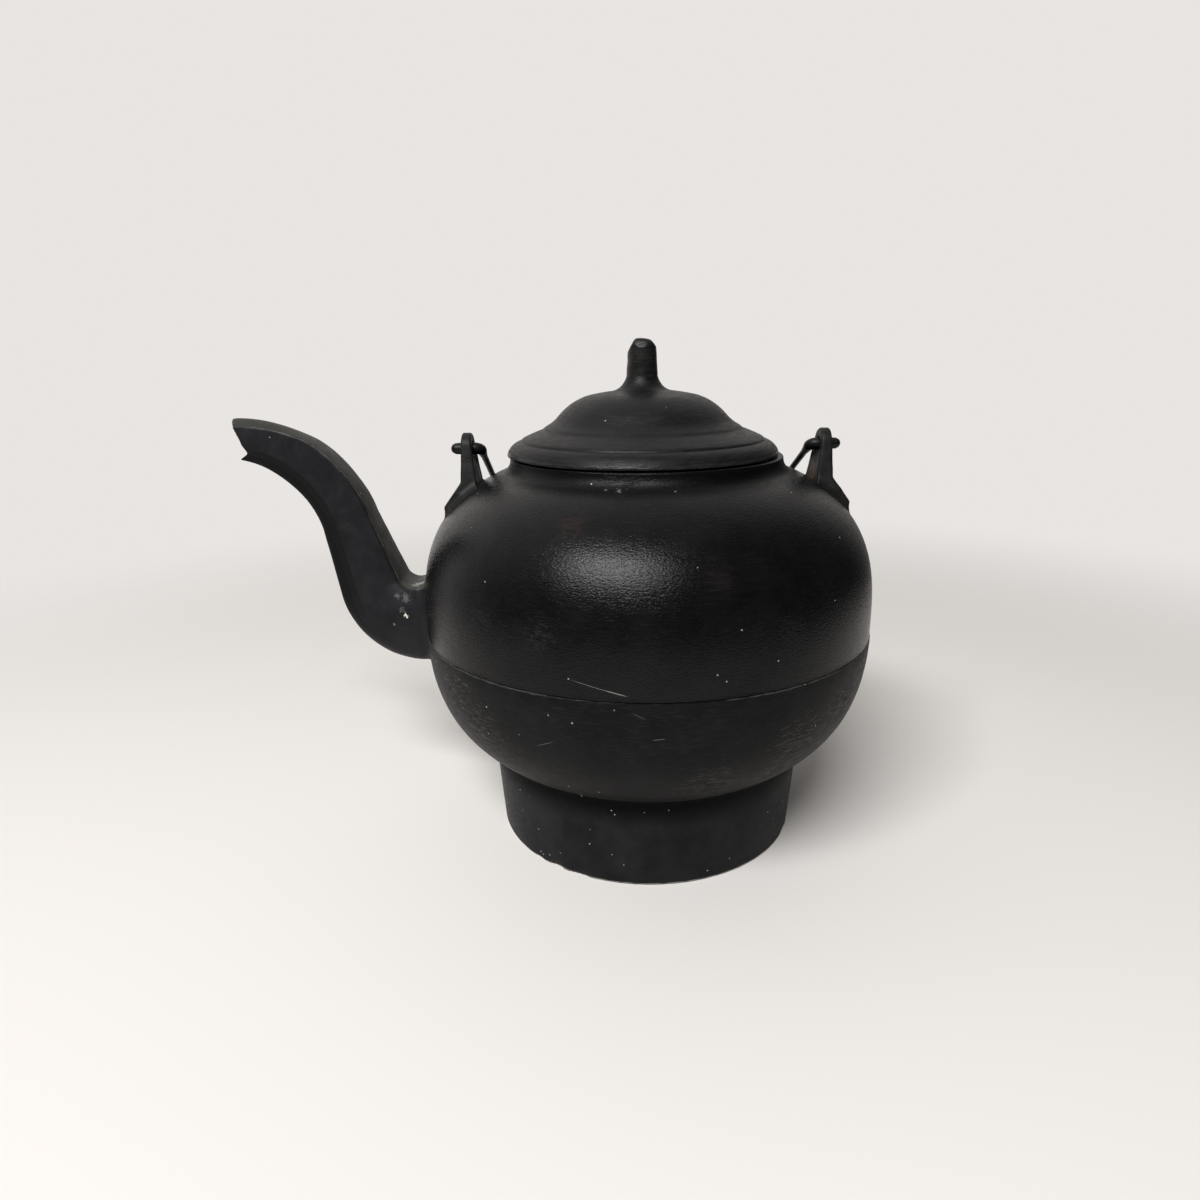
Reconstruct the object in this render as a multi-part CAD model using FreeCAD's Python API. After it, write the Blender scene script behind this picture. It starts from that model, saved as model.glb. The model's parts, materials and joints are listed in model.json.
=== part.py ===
import FreeCAD
import Part
import math
import os

# Cast iron teapot, in millimetres. The pot's axis is Z, the table is z = 0,
# the spout points along -X and the bail lies folded to the back, +Y.

Vector = FreeCAD.Vector
UP = Vector(0, 0, 1)
PIVOT_AXIS = Vector(1, 0, 0)

# Belly: two halves of a squared-off oval, turned round the axis
BELLY_RADIUS = 100.0
BELLY_HEIGHT = 104.3
SHOULDER_RISE = 70.0
SHOULDER_SQUARENESS = 2.66
BOWL_DEPTH = 76.3
BOWL_SQUARENESS = 2.75
WALL = 3.5

# Seam where the two castings of the belly meet, the lower one a hair proud
SEAM_DROP = 7.1
SEAM_LEDGE = 0.4

# Neck and mouth
NECK_RADIUS = 59.6
NECK_WALL = 5.4
NECK_HEIGHT = 6.6
NECK_COVE = 4.0
RIM_ROUND = 0.8

# Foot ring
FOOT_RADIUS = 69.4
FOOT_FLARE_DEG = 4.2
FOOT_WALL = 4.2
FOOT_EDGE_ROUND = 0.8

# Lid: radius and height above the rim of each break in its outline
LID_GAP = 0.3
LID_INSET = 0.4
LID_EDGE = 2.2
LID_EDGE_ROUND = 0.7
LID_SHIFT = 1.6
LID_WALL = 3.4
LID_STEP = 0.7
BROW_RADIUS = 53.0
BROW_RISE = 6.4
LEDGE_RADIUS = 43.0
LEDGE_RISE = 11.2
COVE_RADIUS = 36.4
COVE_RISE = 16.8
CROWN_RADIUS = 24.0
CROWN_RISE = 25.0
DOME_CAP = 2.7
BROW_BULGE = 0.8
COVE_SAG = 0.55
CROWN_BULGE = 1.0
SKIRT_CLEARANCE = 2.2
SKIRT_WALL = 2.6
SKIRT_DEPTH = 7.0

# Knob: a tapered post on a flared base
KNOB_BASE_RADIUS = 13.5
KNOB_FLARE = 5.0
KNOB_ROOT_RADIUS = 6.9
KNOB_TOP_RADIUS = 6.0
KNOB_HEIGHT = 21.0
KNOB_CAP = 6.0
KNOB_FLARE_SAG = 1.5
KNOB_FLARE_EDGE = 0.6

# Ears: lugs on the shoulder that carry the bail, set in from the widest ring of the belly
EAR_INSET = 21.8
EAR_THICKNESS = 4.4
EAR_PIVOT_RISE = 18.1
EAR_TOP_RADIUS = 7.0
EAR_BASE_WIDTH = 23.0
EAR_INNER_FLARE = 1.6
EAR_WAIST = 13.5
EAR_OUTER_FLARE = 0.5
BUTTRESS_REACH = 8.2
BUTTRESS_NOSE = 4.2
EAR_EDGE_ROUND = 0.9
PIN_CLEARANCE = 0.4

# Bail: thin wire with thick turned-out ends
BAIL_WIRE_RADIUS = 1.35
BAIL_PIN_RADIUS = 2.6
BAIL_EAR_GAP = 0.9
BAIL_STUB = 5.0
BAIL_LEG = 42.0
BAIL_SWELL = 11.0
BAIL_REST_GAP = 0.35

# Spout: line, bend, line and bend; the valley is the hollow's radius above the first bend
SPOUT_STUB = 2.6
SPOUT_VALLEY = 4.4
SPOUT_LEAN_DEG = 74.7
SPOUT_RISER = 31.0
SPOUT_TIP_BEND = 50.3
SPOUT_WALL = 2.6
MOUTH_UPPER_LIP = 2.4
MOUTH_NOTCH = 8.5
MOUTH_NOTCH_DROP = 6.0
MOUTH_LOWER_LIP = 4.3

# Spout sections at the root, the knee, the waist, the last bend and the tip: height, width at the
# side, width of the strip on top and of the keel below, then how round the sides and the strip are
ROOT_HEIGHT = 37.9
ROOT_WIDTH = 30.0
ROOT_STRIP = 27.0
ROOT_KEEL = 13.0
ROOT_FULLNESS = 0.20
ROOT_CROWN = 0.02
KNEE_HEIGHT = 30.7
KNEE_WIDTH = 25.0
KNEE_STRIP = 19.8
KNEE_KEEL = 10.0
KNEE_FULLNESS = 0.15
KNEE_CROWN = 0.02
WAIST_HEIGHT = 24.3
WAIST_WIDTH = 20.0
WAIST_STRIP = 15.3
WAIST_KEEL = 8.0
WAIST_FULLNESS = 0.08
WAIST_CROWN = 0.03
BEND_HEIGHT = 22.3
BEND_WIDTH = 16.4
BEND_STRIP = 14.7
BEND_KEEL = 7.2
BEND_FULLNESS = 0.05
BEND_CROWN = 0.04
TIP_HEIGHT = 17.3
TIP_WIDTH = 12.8
TIP_STRIP = 11.7
TIP_KEEL = 6.0
TIP_FULLNESS = 0.03
TIP_CROWN = 0.33

# Shares of a spout section: where its chine lies, how full its faces are, how its bore narrows
CHINE_DROP_SHARE = 0.3
UPPER_SIDE_SHARE = 0.3
KEEL_SHARE = 0.8
STRIP_INSET_SHARE = 0.8
KEEL_INSET_SHARE = 0.6


def section_size(height, width, strip, keel, fullness, crown):
    """One casting section: its height, widths at side, top and bottom, and how round its faces are."""
    names = ("height", "width", "strip", "keel", "fullness", "crown")
    return dict(zip(names, (height, width, strip, keel, fullness, crown)))


SPOUT_ROOT = section_size(ROOT_HEIGHT, ROOT_WIDTH, ROOT_STRIP, ROOT_KEEL, ROOT_FULLNESS, ROOT_CROWN)
SPOUT_KNEE = section_size(KNEE_HEIGHT, KNEE_WIDTH, KNEE_STRIP, KNEE_KEEL, KNEE_FULLNESS, KNEE_CROWN)
SPOUT_NECK = section_size(WAIST_HEIGHT, WAIST_WIDTH, WAIST_STRIP, WAIST_KEEL, WAIST_FULLNESS, WAIST_CROWN)
SPOUT_BEND = section_size(BEND_HEIGHT, BEND_WIDTH, BEND_STRIP, BEND_KEEL, BEND_FULLNESS, BEND_CROWN)
SPOUT_TIP = section_size(TIP_HEIGHT, TIP_WIDTH, TIP_STRIP, TIP_KEEL, TIP_FULLNESS, TIP_CROWN)

# What follows from those sizes
SEAM_HEIGHT = BELLY_HEIGHT - SEAM_DROP
MOUTH_RADIUS = NECK_RADIUS - NECK_WALL
DOME_RISE = CROWN_RISE + DOME_CAP
EAR_X = BELLY_RADIUS - EAR_INSET
SPOUT_ROOT_BEND = ROOT_HEIGHT / 2 + SPOUT_VALLEY
CURVE_POINTS = 9


def oval_height(radius, rise, squareness, at_radius):
    """Height of the oval above its widest ring where it has narrowed to a radius."""
    return rise * (1 - (at_radius / radius) ** squareness) ** (1 / squareness)


def shoulder_height(at_radius):
    """Height above the table of the pot's shoulder at a distance from the axis."""
    return BELLY_HEIGHT + oval_height(BELLY_RADIUS, SHOULDER_RISE, SHOULDER_SQUARENESS, at_radius)


RIM_COVE_HEIGHT = shoulder_height(NECK_RADIUS + NECK_COVE)
RIM_HEIGHT = RIM_COVE_HEIGHT + NECK_HEIGHT
SEAT_HEIGHT = RIM_HEIGHT + LID_GAP
PIVOT_HEIGHT = shoulder_height(EAR_X) + EAR_PIVOT_RISE
PIVOT = Vector(0, 0, PIVOT_HEIGHT)


def at(radius, height):
    """A point of a turned outline."""
    return Vector(radius, 0, height)


def line(start, end):
    return Part.LineSegment(start, end).toShape()


def arc(start, through, end):
    return Part.Arc(start, through, end).toShape()


def cap(edge, top):
    """Round end of a turned outline: an arc centred on the axis, from its edge to its top."""
    rise = top.z - edge.z
    ball = (edge.x ** 2 + rise ** 2) / (2 * rise)
    half_turn = math.atan2(edge.x, ball - rise) / 2
    return arc(edge, at(ball * math.sin(half_turn), top.z - ball * (1 - math.cos(half_turn))), top)


def bowed(start, end, bulge):
    """Arc inward and up an outline, its middle standing off the chord by a bulge, or sagging below it."""
    chord = end - start
    off_chord = at(chord.z, -chord.x)
    off_chord.normalize()
    return arc(start, (start + end) * 0.5 + off_chord * bulge, end)


def oval_curve(radius, rise, squareness, direction, first, last):
    """Oval outline from the height first to the height last above (or below) the widest ring."""
    start = math.asin((first / rise) ** (squareness / 2))
    end = math.asin((last / rise) ** (squareness / 2))
    points = []
    for step in range(CURVE_POINTS):
        angle = start + (end - start) * step / (CURVE_POINTS - 1)
        reach = radius * math.cos(angle) ** (2 / squareness)
        drop = rise * math.sin(angle) ** (2 / squareness)
        points.append(at(reach, BELLY_HEIGHT + direction * drop))
    curve = Part.BSplineCurve()
    curve.interpolate(points)
    return curve.toShape()


def turned(edges):
    """A solid turned round the pot's axis from its closed outline."""
    outline = Part.Wire(edges)
    return Part.makeSolid(Part.Face(outline).revolve(Vector(), UP, 360))


def turned_from(points):
    """A turned solid with a straight-sided outline."""
    edges = [line(a, b) for a, b in zip(points, points[1:] + points[:1])]
    return turned(edges)


def ends(edge):
    return edge.valueAt(edge.FirstParameter), edge.valueAt(edge.LastParameter)


def make_upper_shell():
    """Shoulder and upper belly, open at the seam, with the neck and its flat rim."""
    cove_start = NECK_RADIUS + NECK_COVE
    cove_rise = RIM_COVE_HEIGHT - BELLY_HEIGHT
    inner_radius = BELLY_RADIUS - WALL
    inner_rise = SHOULDER_RISE - WALL
    inner_top = oval_height(inner_radius, inner_rise, SHOULDER_SQUARENESS, MOUTH_RADIUS)
    skirt_of_belly = oval_curve(BELLY_RADIUS, BOWL_DEPTH, BOWL_SQUARENESS, -1, SEAM_DROP, 0)
    shoulder = oval_curve(BELLY_RADIUS, SHOULDER_RISE, SHOULDER_SQUARENESS, 1, 0, cove_rise)
    inside = oval_curve(inner_radius, inner_rise, SHOULDER_SQUARENESS, 1, inner_top, 0)
    inside_skirt = oval_curve(inner_radius, BOWL_DEPTH - WALL, BOWL_SQUARENESS, -1, 0, SEAM_DROP)
    cove_centre = at(cove_start, RIM_COVE_HEIGHT + NECK_COVE)
    cove_middle = cove_centre - at(NECK_COVE, NECK_COVE) * math.sqrt(0.5)
    neck_foot = at(NECK_RADIUS, RIM_COVE_HEIGHT + NECK_COVE)
    rim_side = at(NECK_RADIUS, RIM_HEIGHT - RIM_ROUND)
    rim_top = at(NECK_RADIUS - RIM_ROUND, RIM_HEIGHT)
    round_centre = at(NECK_RADIUS - RIM_ROUND, RIM_HEIGHT - RIM_ROUND)
    rim_middle = round_centre + at(RIM_ROUND, RIM_ROUND) * math.sqrt(0.5)
    mouth_top = at(MOUTH_RADIUS, RIM_HEIGHT)
    edges = [
        skirt_of_belly,
        shoulder,
        arc(ends(shoulder)[1], cove_middle, neck_foot),
        line(neck_foot, rim_side),
        arc(rim_side, rim_middle, rim_top),
        line(rim_top, mouth_top),
        line(mouth_top, ends(inside)[0]),
        inside,
        inside_skirt,
        line(ends(inside_skirt)[1], ends(skirt_of_belly)[0]),
    ]
    return turned(edges)


def bowl_curve(inset, outward):
    """Outline of the bowl from the seam to the axis, moved in by a wall or out by the ledge."""
    depth = BOWL_DEPTH - inset
    return oval_curve(BELLY_RADIUS - inset + outward, depth, BOWL_SQUARENESS, -1, SEAM_DROP, depth)


def make_lower_shell():
    """The bowl below the seam, closed by the pot's floor."""
    outside = bowl_curve(0, SEAM_LEDGE)
    inside = bowl_curve(WALL, 0)
    edges = [
        outside,
        line(ends(outside)[1], ends(inside)[1]),
        inside,
        line(ends(inside)[0], ends(outside)[0]),
    ]
    return turned(edges)


def make_bowl_core():
    """The bowl as a full solid, for cutting what is joined to its outside."""
    outside = bowl_curve(0, SEAM_LEDGE)
    seam_centre = at(0, SEAM_HEIGHT)
    edges = [outside, line(ends(outside)[1], seam_centre), line(seam_centre, ends(outside)[0])]
    return turned(edges)


def make_shoulder_core():
    """The upper belly as a full solid, for cutting what is joined to its outside."""
    skirt_of_belly = oval_curve(BELLY_RADIUS, BOWL_DEPTH, BOWL_SQUARENESS, -1, SEAM_DROP, 0)
    cove_rise = RIM_COVE_HEIGHT - BELLY_HEIGHT
    shoulder = oval_curve(BELLY_RADIUS, SHOULDER_RISE, SHOULDER_SQUARENESS, 1, 0, cove_rise)
    top_centre = at(0, RIM_COVE_HEIGHT)
    seam_centre = at(0, SEAM_HEIGHT)
    edges = [
        skirt_of_belly,
        shoulder,
        line(ends(shoulder)[1], top_centre),
        line(top_centre, seam_centre),
        line(seam_centre, ends(skirt_of_belly)[0]),
    ]
    return turned(edges)


def make_foot_ring(bowl_core):
    """Open ring that widens upward and meets the bowl all round."""
    tall = SEAM_HEIGHT
    flare = tall * math.tan(math.radians(FOOT_FLARE_DEG))
    inner = FOOT_RADIUS - FOOT_WALL
    blunt = FOOT_EDGE_ROUND
    outline = [
        at(inner + blunt, 0),
        at(FOOT_RADIUS - blunt, 0),
        at(FOOT_RADIUS, blunt),
        at(FOOT_RADIUS + flare, tall),
        at(inner + flare, tall),
        at(inner, blunt),
    ]
    above = turned_from([at(0, SEAM_HEIGHT), at(2 * BELLY_RADIUS, SEAM_HEIGHT),
                         at(2 * BELLY_RADIUS, 2 * SEAM_HEIGHT), at(0, 2 * SEAM_HEIGHT)])
    pieces = turned_from(outline).cut(bowl_core).cut(above).Solids
    return min(pieces, key=lambda piece: piece.BoundBox.ZMin)


def lid_outline(drop):
    """Top of the lid from its brow to the axis, lowered by a wall where it is the underside."""
    base = SEAT_HEIGHT - drop
    brow = at(BROW_RADIUS, base + BROW_RISE)
    brow_top = at(BROW_RADIUS, base + BROW_RISE + LID_STEP)
    ledge = at(LEDGE_RADIUS, base + LEDGE_RISE)
    ledge_top = at(LEDGE_RADIUS, base + LEDGE_RISE + LID_STEP)
    cove = at(COVE_RADIUS, base + COVE_RISE)
    crown = at(CROWN_RADIUS, base + CROWN_RISE)
    top = at(0, base + DOME_RISE)
    return [
        line(brow, brow_top),
        line(brow_top, ledge),
        line(ledge, ledge_top),
        bowed(ledge_top, cove, -COVE_SAG),
        bowed(cove, crown, CROWN_BULGE),
        cap(crown, top),
    ]


def make_lid():
    """Stepped and domed cover, hollow below, with a skirt that sits in the mouth."""
    edge_radius = NECK_RADIUS - LID_INSET
    skirt_outer = MOUTH_RADIUS - SKIRT_CLEARANCE
    skirt_inner = skirt_outer - SKIRT_WALL
    outside = lid_outline(0)
    inside = lid_outline(LID_WALL)
    brow = ends(outside[0])[0]
    edge_under = at(edge_radius - LID_EDGE_ROUND, SEAT_HEIGHT)
    edge_low = at(edge_radius, SEAT_HEIGHT + LID_EDGE_ROUND)
    edge_centre = at(edge_radius - LID_EDGE_ROUND, SEAT_HEIGHT + LID_EDGE_ROUND)
    edge_middle = edge_centre + at(LID_EDGE_ROUND, -LID_EDGE_ROUND) * math.sqrt(0.5)
    edge_high = at(edge_radius, SEAT_HEIGHT + LID_EDGE)
    skirt_root = at(skirt_outer, SEAT_HEIGHT)
    skirt_low = at(skirt_outer, SEAT_HEIGHT - SKIRT_DEPTH)
    skirt_in_low = at(skirt_inner, SEAT_HEIGHT - SKIRT_DEPTH)
    inner_ledge = ends(inside[2])[0]
    skirt_in_top = at(skirt_inner, ends(inside[1])[0].z)
    rim = [
        arc(edge_under, edge_middle, edge_low),
        line(edge_low, edge_high),
        bowed(edge_high, brow, BROW_BULGE),
    ]
    skirt = [
        line(inner_ledge, skirt_in_top),
        line(skirt_in_top, skirt_in_low),
        line(skirt_in_low, skirt_low),
        line(skirt_low, skirt_root),
        line(skirt_root, edge_under),
    ]
    axis = line(ends(outside[-1])[1], ends(inside[-1])[1])
    return turned(rim + outside + [axis] + inside[:1:-1] + skirt)


def make_lid_core():
    """The lid's outside as a full solid, for seating the knob."""
    outside = lid_outline(0)
    start = ends(outside[0])[0]
    top = ends(outside[-1])[1]
    foot = at(0, start.z)
    return turned(outside + [line(top, foot), line(foot, start)])


def make_knob(lid_core):
    """Tapered post with a rounded end, flared where it meets the lid."""
    base = SEAT_HEIGHT + DOME_RISE
    foot = base - KNOB_FLARE
    neck = at(KNOB_ROOT_RADIUS, base + KNOB_FLARE)
    flare_low = at(KNOB_BASE_RADIUS, base - KNOB_FLARE_EDGE)
    cap_start = at(KNOB_TOP_RADIUS, base + KNOB_HEIGHT - KNOB_CAP)
    top = at(0, base + KNOB_HEIGHT)
    edges = [
        line(at(0, foot), at(KNOB_BASE_RADIUS, foot)),
        line(at(KNOB_BASE_RADIUS, foot), flare_low),
        bowed(flare_low, neck, -KNOB_FLARE_SAG),
        line(neck, cap_start),
        cap(cap_start, top),
        line(top, at(0, foot)),
    ]
    return turned(edges).cut(lid_core)


def make_ear(shoulder_core):
    """Lug on the +X side: a pierced plate with a rounded top and a buttress down the shoulder."""
    inner_x = EAR_X - EAR_THICKNESS / 2
    outer_x = EAR_X + EAR_THICKNESS / 2
    top = PIVOT_HEIGHT + EAR_TOP_RADIUS
    nose_x = outer_x + BUTTRESS_REACH
    nose_z = shoulder_height(nose_x)
    root = nose_z - WALL
    waist_z = PIVOT_HEIGHT - EAR_WAIST
    side = [
        at(inner_x, top),
        at(outer_x, top),
        at(outer_x + EAR_OUTER_FLARE, waist_z),
        at(nose_x, nose_z + BUTTRESS_NOSE),
        at(nose_x, root),
        at(inner_x - EAR_INNER_FLARE, root),
        at(inner_x - EAR_INNER_FLARE, shoulder_height(inner_x)),
    ]
    half = EAR_BASE_WIDTH / 2
    outline = Part.Face(Part.makePolygon(side + side[:1]))
    plate = outline.extrude(Vector(0, EAR_BASE_WIDTH, 0))
    plate.translate(Vector(0, -half, 0))
    lug = plate.common(ear_front(half, root))
    above_root = [edge for edge in lug.Edges if edge.BoundBox.ZMax > nose_z]
    return lug.makeFillet(EAR_EDGE_ROUND, above_root).cut(shoulder_core).cut(pivot_hole())


def ear_front(half, root):
    """The lug seen along the pivot: a rounded top and straight sides that spread to its base."""
    base_z = shoulder_height(EAR_X)
    spread = math.hypot(half, PIVOT_HEIGHT - base_z)
    lean = math.acos(EAR_TOP_RADIUS / spread) - math.atan2(PIVOT_HEIGHT - base_z, half)
    touch = Vector(0, EAR_TOP_RADIUS * math.cos(lean), EAR_TOP_RADIUS * math.sin(lean))
    mirrored = Vector(0, -touch.y, touch.z)
    crest = Vector(0, 0, EAR_TOP_RADIUS)
    right = Vector(0, half, base_z)
    left = Vector(0, -half, base_z)
    edges = [
        arc(PIVOT + touch, PIVOT + crest, PIVOT + mirrored),
        line(PIVOT + mirrored, left),
        line(left, Vector(0, -half, root)),
        line(Vector(0, -half, root), Vector(0, half, root)),
        line(Vector(0, half, root), right),
        line(right, PIVOT + touch),
    ]
    return Part.Face(Part.Wire(edges)).extrude(Vector(2 * BELLY_RADIUS, 0, 0))


def pivot_hole():
    return Part.makeCylinder(BAIL_PIN_RADIUS + PIN_CLEARANCE, 2 * BELLY_RADIUS, PIVOT, PIVOT_AXIS)


def mirrored_ear(ear):
    return ear.mirror(Vector(), PIVOT_AXIS)


def bail_half_width():
    """From the pot's axis to the centre of the wire's straight leg."""
    return EAR_X - EAR_THICKNESS / 2 - BAIL_EAR_GAP - BAIL_PIN_RADIUS


def wire_point(share):
    """Point of the arch, flat: sideways and outward from the pivot line, share 0 at a leg, 1 at the crown."""
    turn = share * math.pi / 2
    width = bail_half_width()
    return width * math.cos(turn), BAIL_LEG + width * math.sin(turn)


def wire_clearance(fold):
    """Least gap between the wire and the shoulder with the bail folded below level by an angle."""
    gaps = []
    for step in range(CURVE_POINTS * 4):
        across, outward = wire_point(step / (CURVE_POINTS * 4 - 1))
        back = outward * math.cos(fold)
        rise = PIVOT_HEIGHT - outward * math.sin(fold) - BELLY_HEIGHT
        reach = math.hypot(across, back)
        power = SHOULDER_SQUARENESS
        level = (reach / BELLY_RADIUS) ** power + (max(rise, 0) / SHOULDER_RISE) ** power
        slope_out = power / BELLY_RADIUS * (reach / BELLY_RADIUS) ** (power - 1)
        slope_up = power / SHOULDER_RISE * (max(rise, 0) / SHOULDER_RISE) ** (power - 1)
        gaps.append((level - 1) / math.hypot(slope_out, slope_up))
    return min(gaps) - BAIL_WIRE_RADIUS


def resting_fold():
    """How far below level the bail folds before its wire lies against the back of the belly."""
    low = 0.0
    high = math.pi / 3
    for _ in range(40):
        middle = (low + high) / 2
        if wire_clearance(middle) > BAIL_REST_GAP:
            low = middle
        else:
            high = middle
    return low


def make_bail():
    """Wire arch with a thick turned-out pin at each end, folded back against the belly."""
    width = bail_half_width()
    crown = Vector(0, BAIL_LEG + width, 0)
    left = Vector(-width, 0, 0)
    right = Vector(width, 0, 0)
    spring_left = left + Vector(0, BAIL_LEG, 0)
    spring_right = right + Vector(0, BAIL_LEG, 0)
    route = Part.Wire([line(left, spring_left), arc(spring_left, crown, spring_right),
                       line(spring_right, right)])
    section = Part.Wire(Part.makeCircle(BAIL_WIRE_RADIUS, left, Vector(0, 1, 0)))
    wire = route.makePipeShell([section], True, True)
    pin_end = EAR_X + EAR_THICKNESS / 2 + BAIL_STUB
    pin_length = pin_end - width - BAIL_PIN_RADIUS
    solid = wire
    for side in (-1, 1):
        bend = Vector(side * width, 0, 0)
        pin = Part.makeCylinder(BAIL_PIN_RADIUS, pin_length, bend, PIVOT_AXIS * side)
        tip = Part.makeSphere(BAIL_PIN_RADIUS, bend + PIVOT_AXIS * (side * pin_length))
        elbow = Part.makeSphere(BAIL_PIN_RADIUS, bend)
        swell = Part.makeCone(BAIL_PIN_RADIUS, BAIL_WIRE_RADIUS, BAIL_SWELL, bend, Vector(0, 1, 0))
        solid = solid.fuse(pin).fuse(tip).fuse(elbow).fuse(swell)
    bail = solid.removeSplitter()
    bail.rotate(Vector(), PIVOT_AXIS, -math.degrees(resting_fold()))
    bail.translate(PIVOT)
    return bail


def spout_stretches():
    """Lengths along the spout's middle line at which its straights and bends end."""
    lean = math.radians(SPOUT_LEAN_DEG)
    stub = WALL * 3 + SPOUT_STUB
    knee = stub + SPOUT_ROOT_BEND * lean
    neck = knee + SPOUT_RISER
    tip = neck + SPOUT_TIP_BEND * lean
    return stub, knee, neck, tip


def spout_place(along):
    """Point and heading of the spout's middle line, a length along it from inside the belly."""
    stub, knee, neck, tip = spout_stretches()
    start = Vector(-BELLY_RADIUS + WALL * 3, 0, SEAM_HEIGHT)
    lean = math.radians(SPOUT_LEAN_DEG)
    bend = min(max(along - stub, 0) / SPOUT_ROOT_BEND, lean)
    point = start + Vector(-min(along, stub), 0, 0)
    point += Vector(-math.sin(bend), 0, 1 - math.cos(bend)) * SPOUT_ROOT_BEND
    point += Vector(-math.cos(lean), 0, math.sin(lean)) * min(max(along - knee, 0), SPOUT_RISER)
    heading = bend - max(along - neck, 0) / SPOUT_TIP_BEND
    turn = Vector(math.sin(heading) - math.sin(lean), 0, math.cos(heading) - math.cos(lean))
    if along > neck:
        point += turn * SPOUT_TIP_BEND
    return point, heading


def blended(along):
    """Sizes of the spout's section, running evenly from each named section to the next."""
    stub, knee, neck, tip = spout_stretches()
    marks = (stub, knee, neck, (neck + tip) / 2, tip)
    named = (SPOUT_ROOT, SPOUT_KNEE, SPOUT_NECK, SPOUT_BEND, SPOUT_TIP)
    for mark, following, here, there in zip(marks, marks[1:], named, named[1:]):
        if along <= following:
            share = max(along - mark, 0) / (following - mark)
            return {name: here[name] + (there[name] - here[name]) * share for name in here}
    return dict(SPOUT_TIP)


def spout_section(along, inset):
    """Closed section: flat strip on top, full sides down to a chine, and a narrower keel."""
    point, heading = spout_place(along)
    size = blended(along)
    outward = Vector(math.sin(heading), 0, math.cos(heading))
    across = Vector(0, 1, 0)
    half_height = size["height"] / 2 - inset
    half_strip = size["strip"] / 2 - inset * STRIP_INSET_SHARE
    half_belly = size["width"] / 2 - inset
    half_keel = size["keel"] / 2 - inset * KEEL_INSET_SHARE
    crown = size["crown"]
    lower_side = size["fullness"]
    upper_side = lower_side * UPPER_SIDE_SHARE
    keel = lower_side * KEEL_SHARE
    strip_edge = half_height - 2 * half_strip * crown
    keel_edge = 2 * half_keel * keel - half_height
    chine = -CHINE_DROP_SHARE * 2 * half_height
    corners = [
        (-half_strip, strip_edge),
        (half_strip, strip_edge),
        (half_belly, chine),
        (half_keel, keel_edge),
        (-half_keel, keel_edge),
        (-half_belly, chine),
    ]
    bulges = [crown, upper_side, lower_side, keel, lower_side, upper_side]
    places = [point + across * side + outward * up for side, up in corners]
    edges = []
    for index, bulge in enumerate(bulges):
        first = places[index]
        second = places[(index + 1) % len(places)]
        chord = second - first
        swell = (first + second) * 0.5 - point
        swell = swell - chord * (swell.dot(chord) / chord.dot(chord))
        swell.normalize()
        edges.append(arc(first, (first + second) * 0.5 + swell * (chord.Length * bulge), second))
    return Part.Wire(edges)


def spout_loft(inset):
    """The spout as a full solid, or its bore where the section is drawn in by a wall."""
    stub, knee, neck, tip = spout_stretches()
    stretches = []
    for first, last, count in ((0.0, stub, 1), (stub, knee, 4), (knee, neck, 1), (neck, tip, 6)):
        stops = [first + (last - first) * step / count for step in range(count + 1)]
        stretches.append(Part.makeLoft([spout_section(stop, inset) for stop in stops], True, False))
    return stretches[0].multiFuse(stretches[1:]).removeSplitter()


def mouth_cutter():
    """Wedge across the spout's end: it leaves an upper lip, cut-back sides and a lower lip."""
    end = spout_place(spout_stretches()[-1])[0]
    tall = SPOUT_TIP["height"]
    upper = end + Vector(MOUTH_UPPER_LIP, 0, tall / 2)
    notch = end + Vector(MOUTH_NOTCH, 0, -MOUTH_NOTCH_DROP)
    lower = end + Vector(MOUTH_LOWER_LIP, 0, -tall / 2)
    above = upper + (upper - notch)
    below = lower - Vector(0, 0, tall)
    outside = Vector(-2 * tall, 0, 0)
    outline = [above, notch, lower, below, below + outside, above + outside]
    face = Part.Face(Part.makePolygon(outline + outline[:1]))
    wedge = face.extrude(Vector(0, 4 * tall, 0))
    wedge.translate(Vector(0, -2 * tall, 0))
    return wedge


def make_spout(bowl_core, shoulder_core, bore):
    """Hollow gooseneck, its root shaped to the belly and its end cut to a beak."""
    shell = spout_loft(0).cut(bowl_core).cut(shoulder_core).cut(mouth_cutter()).cut(bore)
    return max(shell.Solids, key=lambda piece: piece.Volume)


def export(nodes):
    os.makedirs("parts", exist_ok=True)
    for name, shape in nodes.items():
        solids = shape.Solids
        shape.exportStep("parts/" + name + ".step")
        box = shape.BoundBox
        spans = [round(span, 1) for span in (box.XMin, box.XMax, box.YMin, box.YMax, box.ZMin, box.ZMax)]
        print(name, "solids", len(solids), "valid", shape.isValid(), "volume", round(shape.Volume), spans)


def main():
    bowl_core = make_bowl_core()
    shoulder_core = make_shoulder_core()
    bore = spout_loft(SPOUT_WALL)
    ear = make_ear(shoulder_core)
    nodes = {
        "upper_shell": make_upper_shell().cut(bore),
        "lower_shell": make_lower_shell().cut(bore),
        "foot_ring": make_foot_ring(bowl_core),
        "spout": make_spout(bowl_core, shoulder_core, bore),
        "ear_far_side": ear,
        "ear_spout_side": mirrored_ear(ear),
        "bail": make_bail(),
        "lid": make_lid(),
        "lid_knob": make_knob(make_lid_core()),
    }
    for name in ("lid", "lid_knob"):
        nodes[name].translate(Vector(-LID_SHIFT, 0, 0))
    export(nodes)
    print("bail folds", round(math.degrees(resting_fold()), 2), "degrees below level")
    print("pivot height", round(PIVOT_HEIGHT, 2), "rim", round(RIM_HEIGHT, 2), "seam", round(SEAM_HEIGHT, 2))


main()
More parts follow.
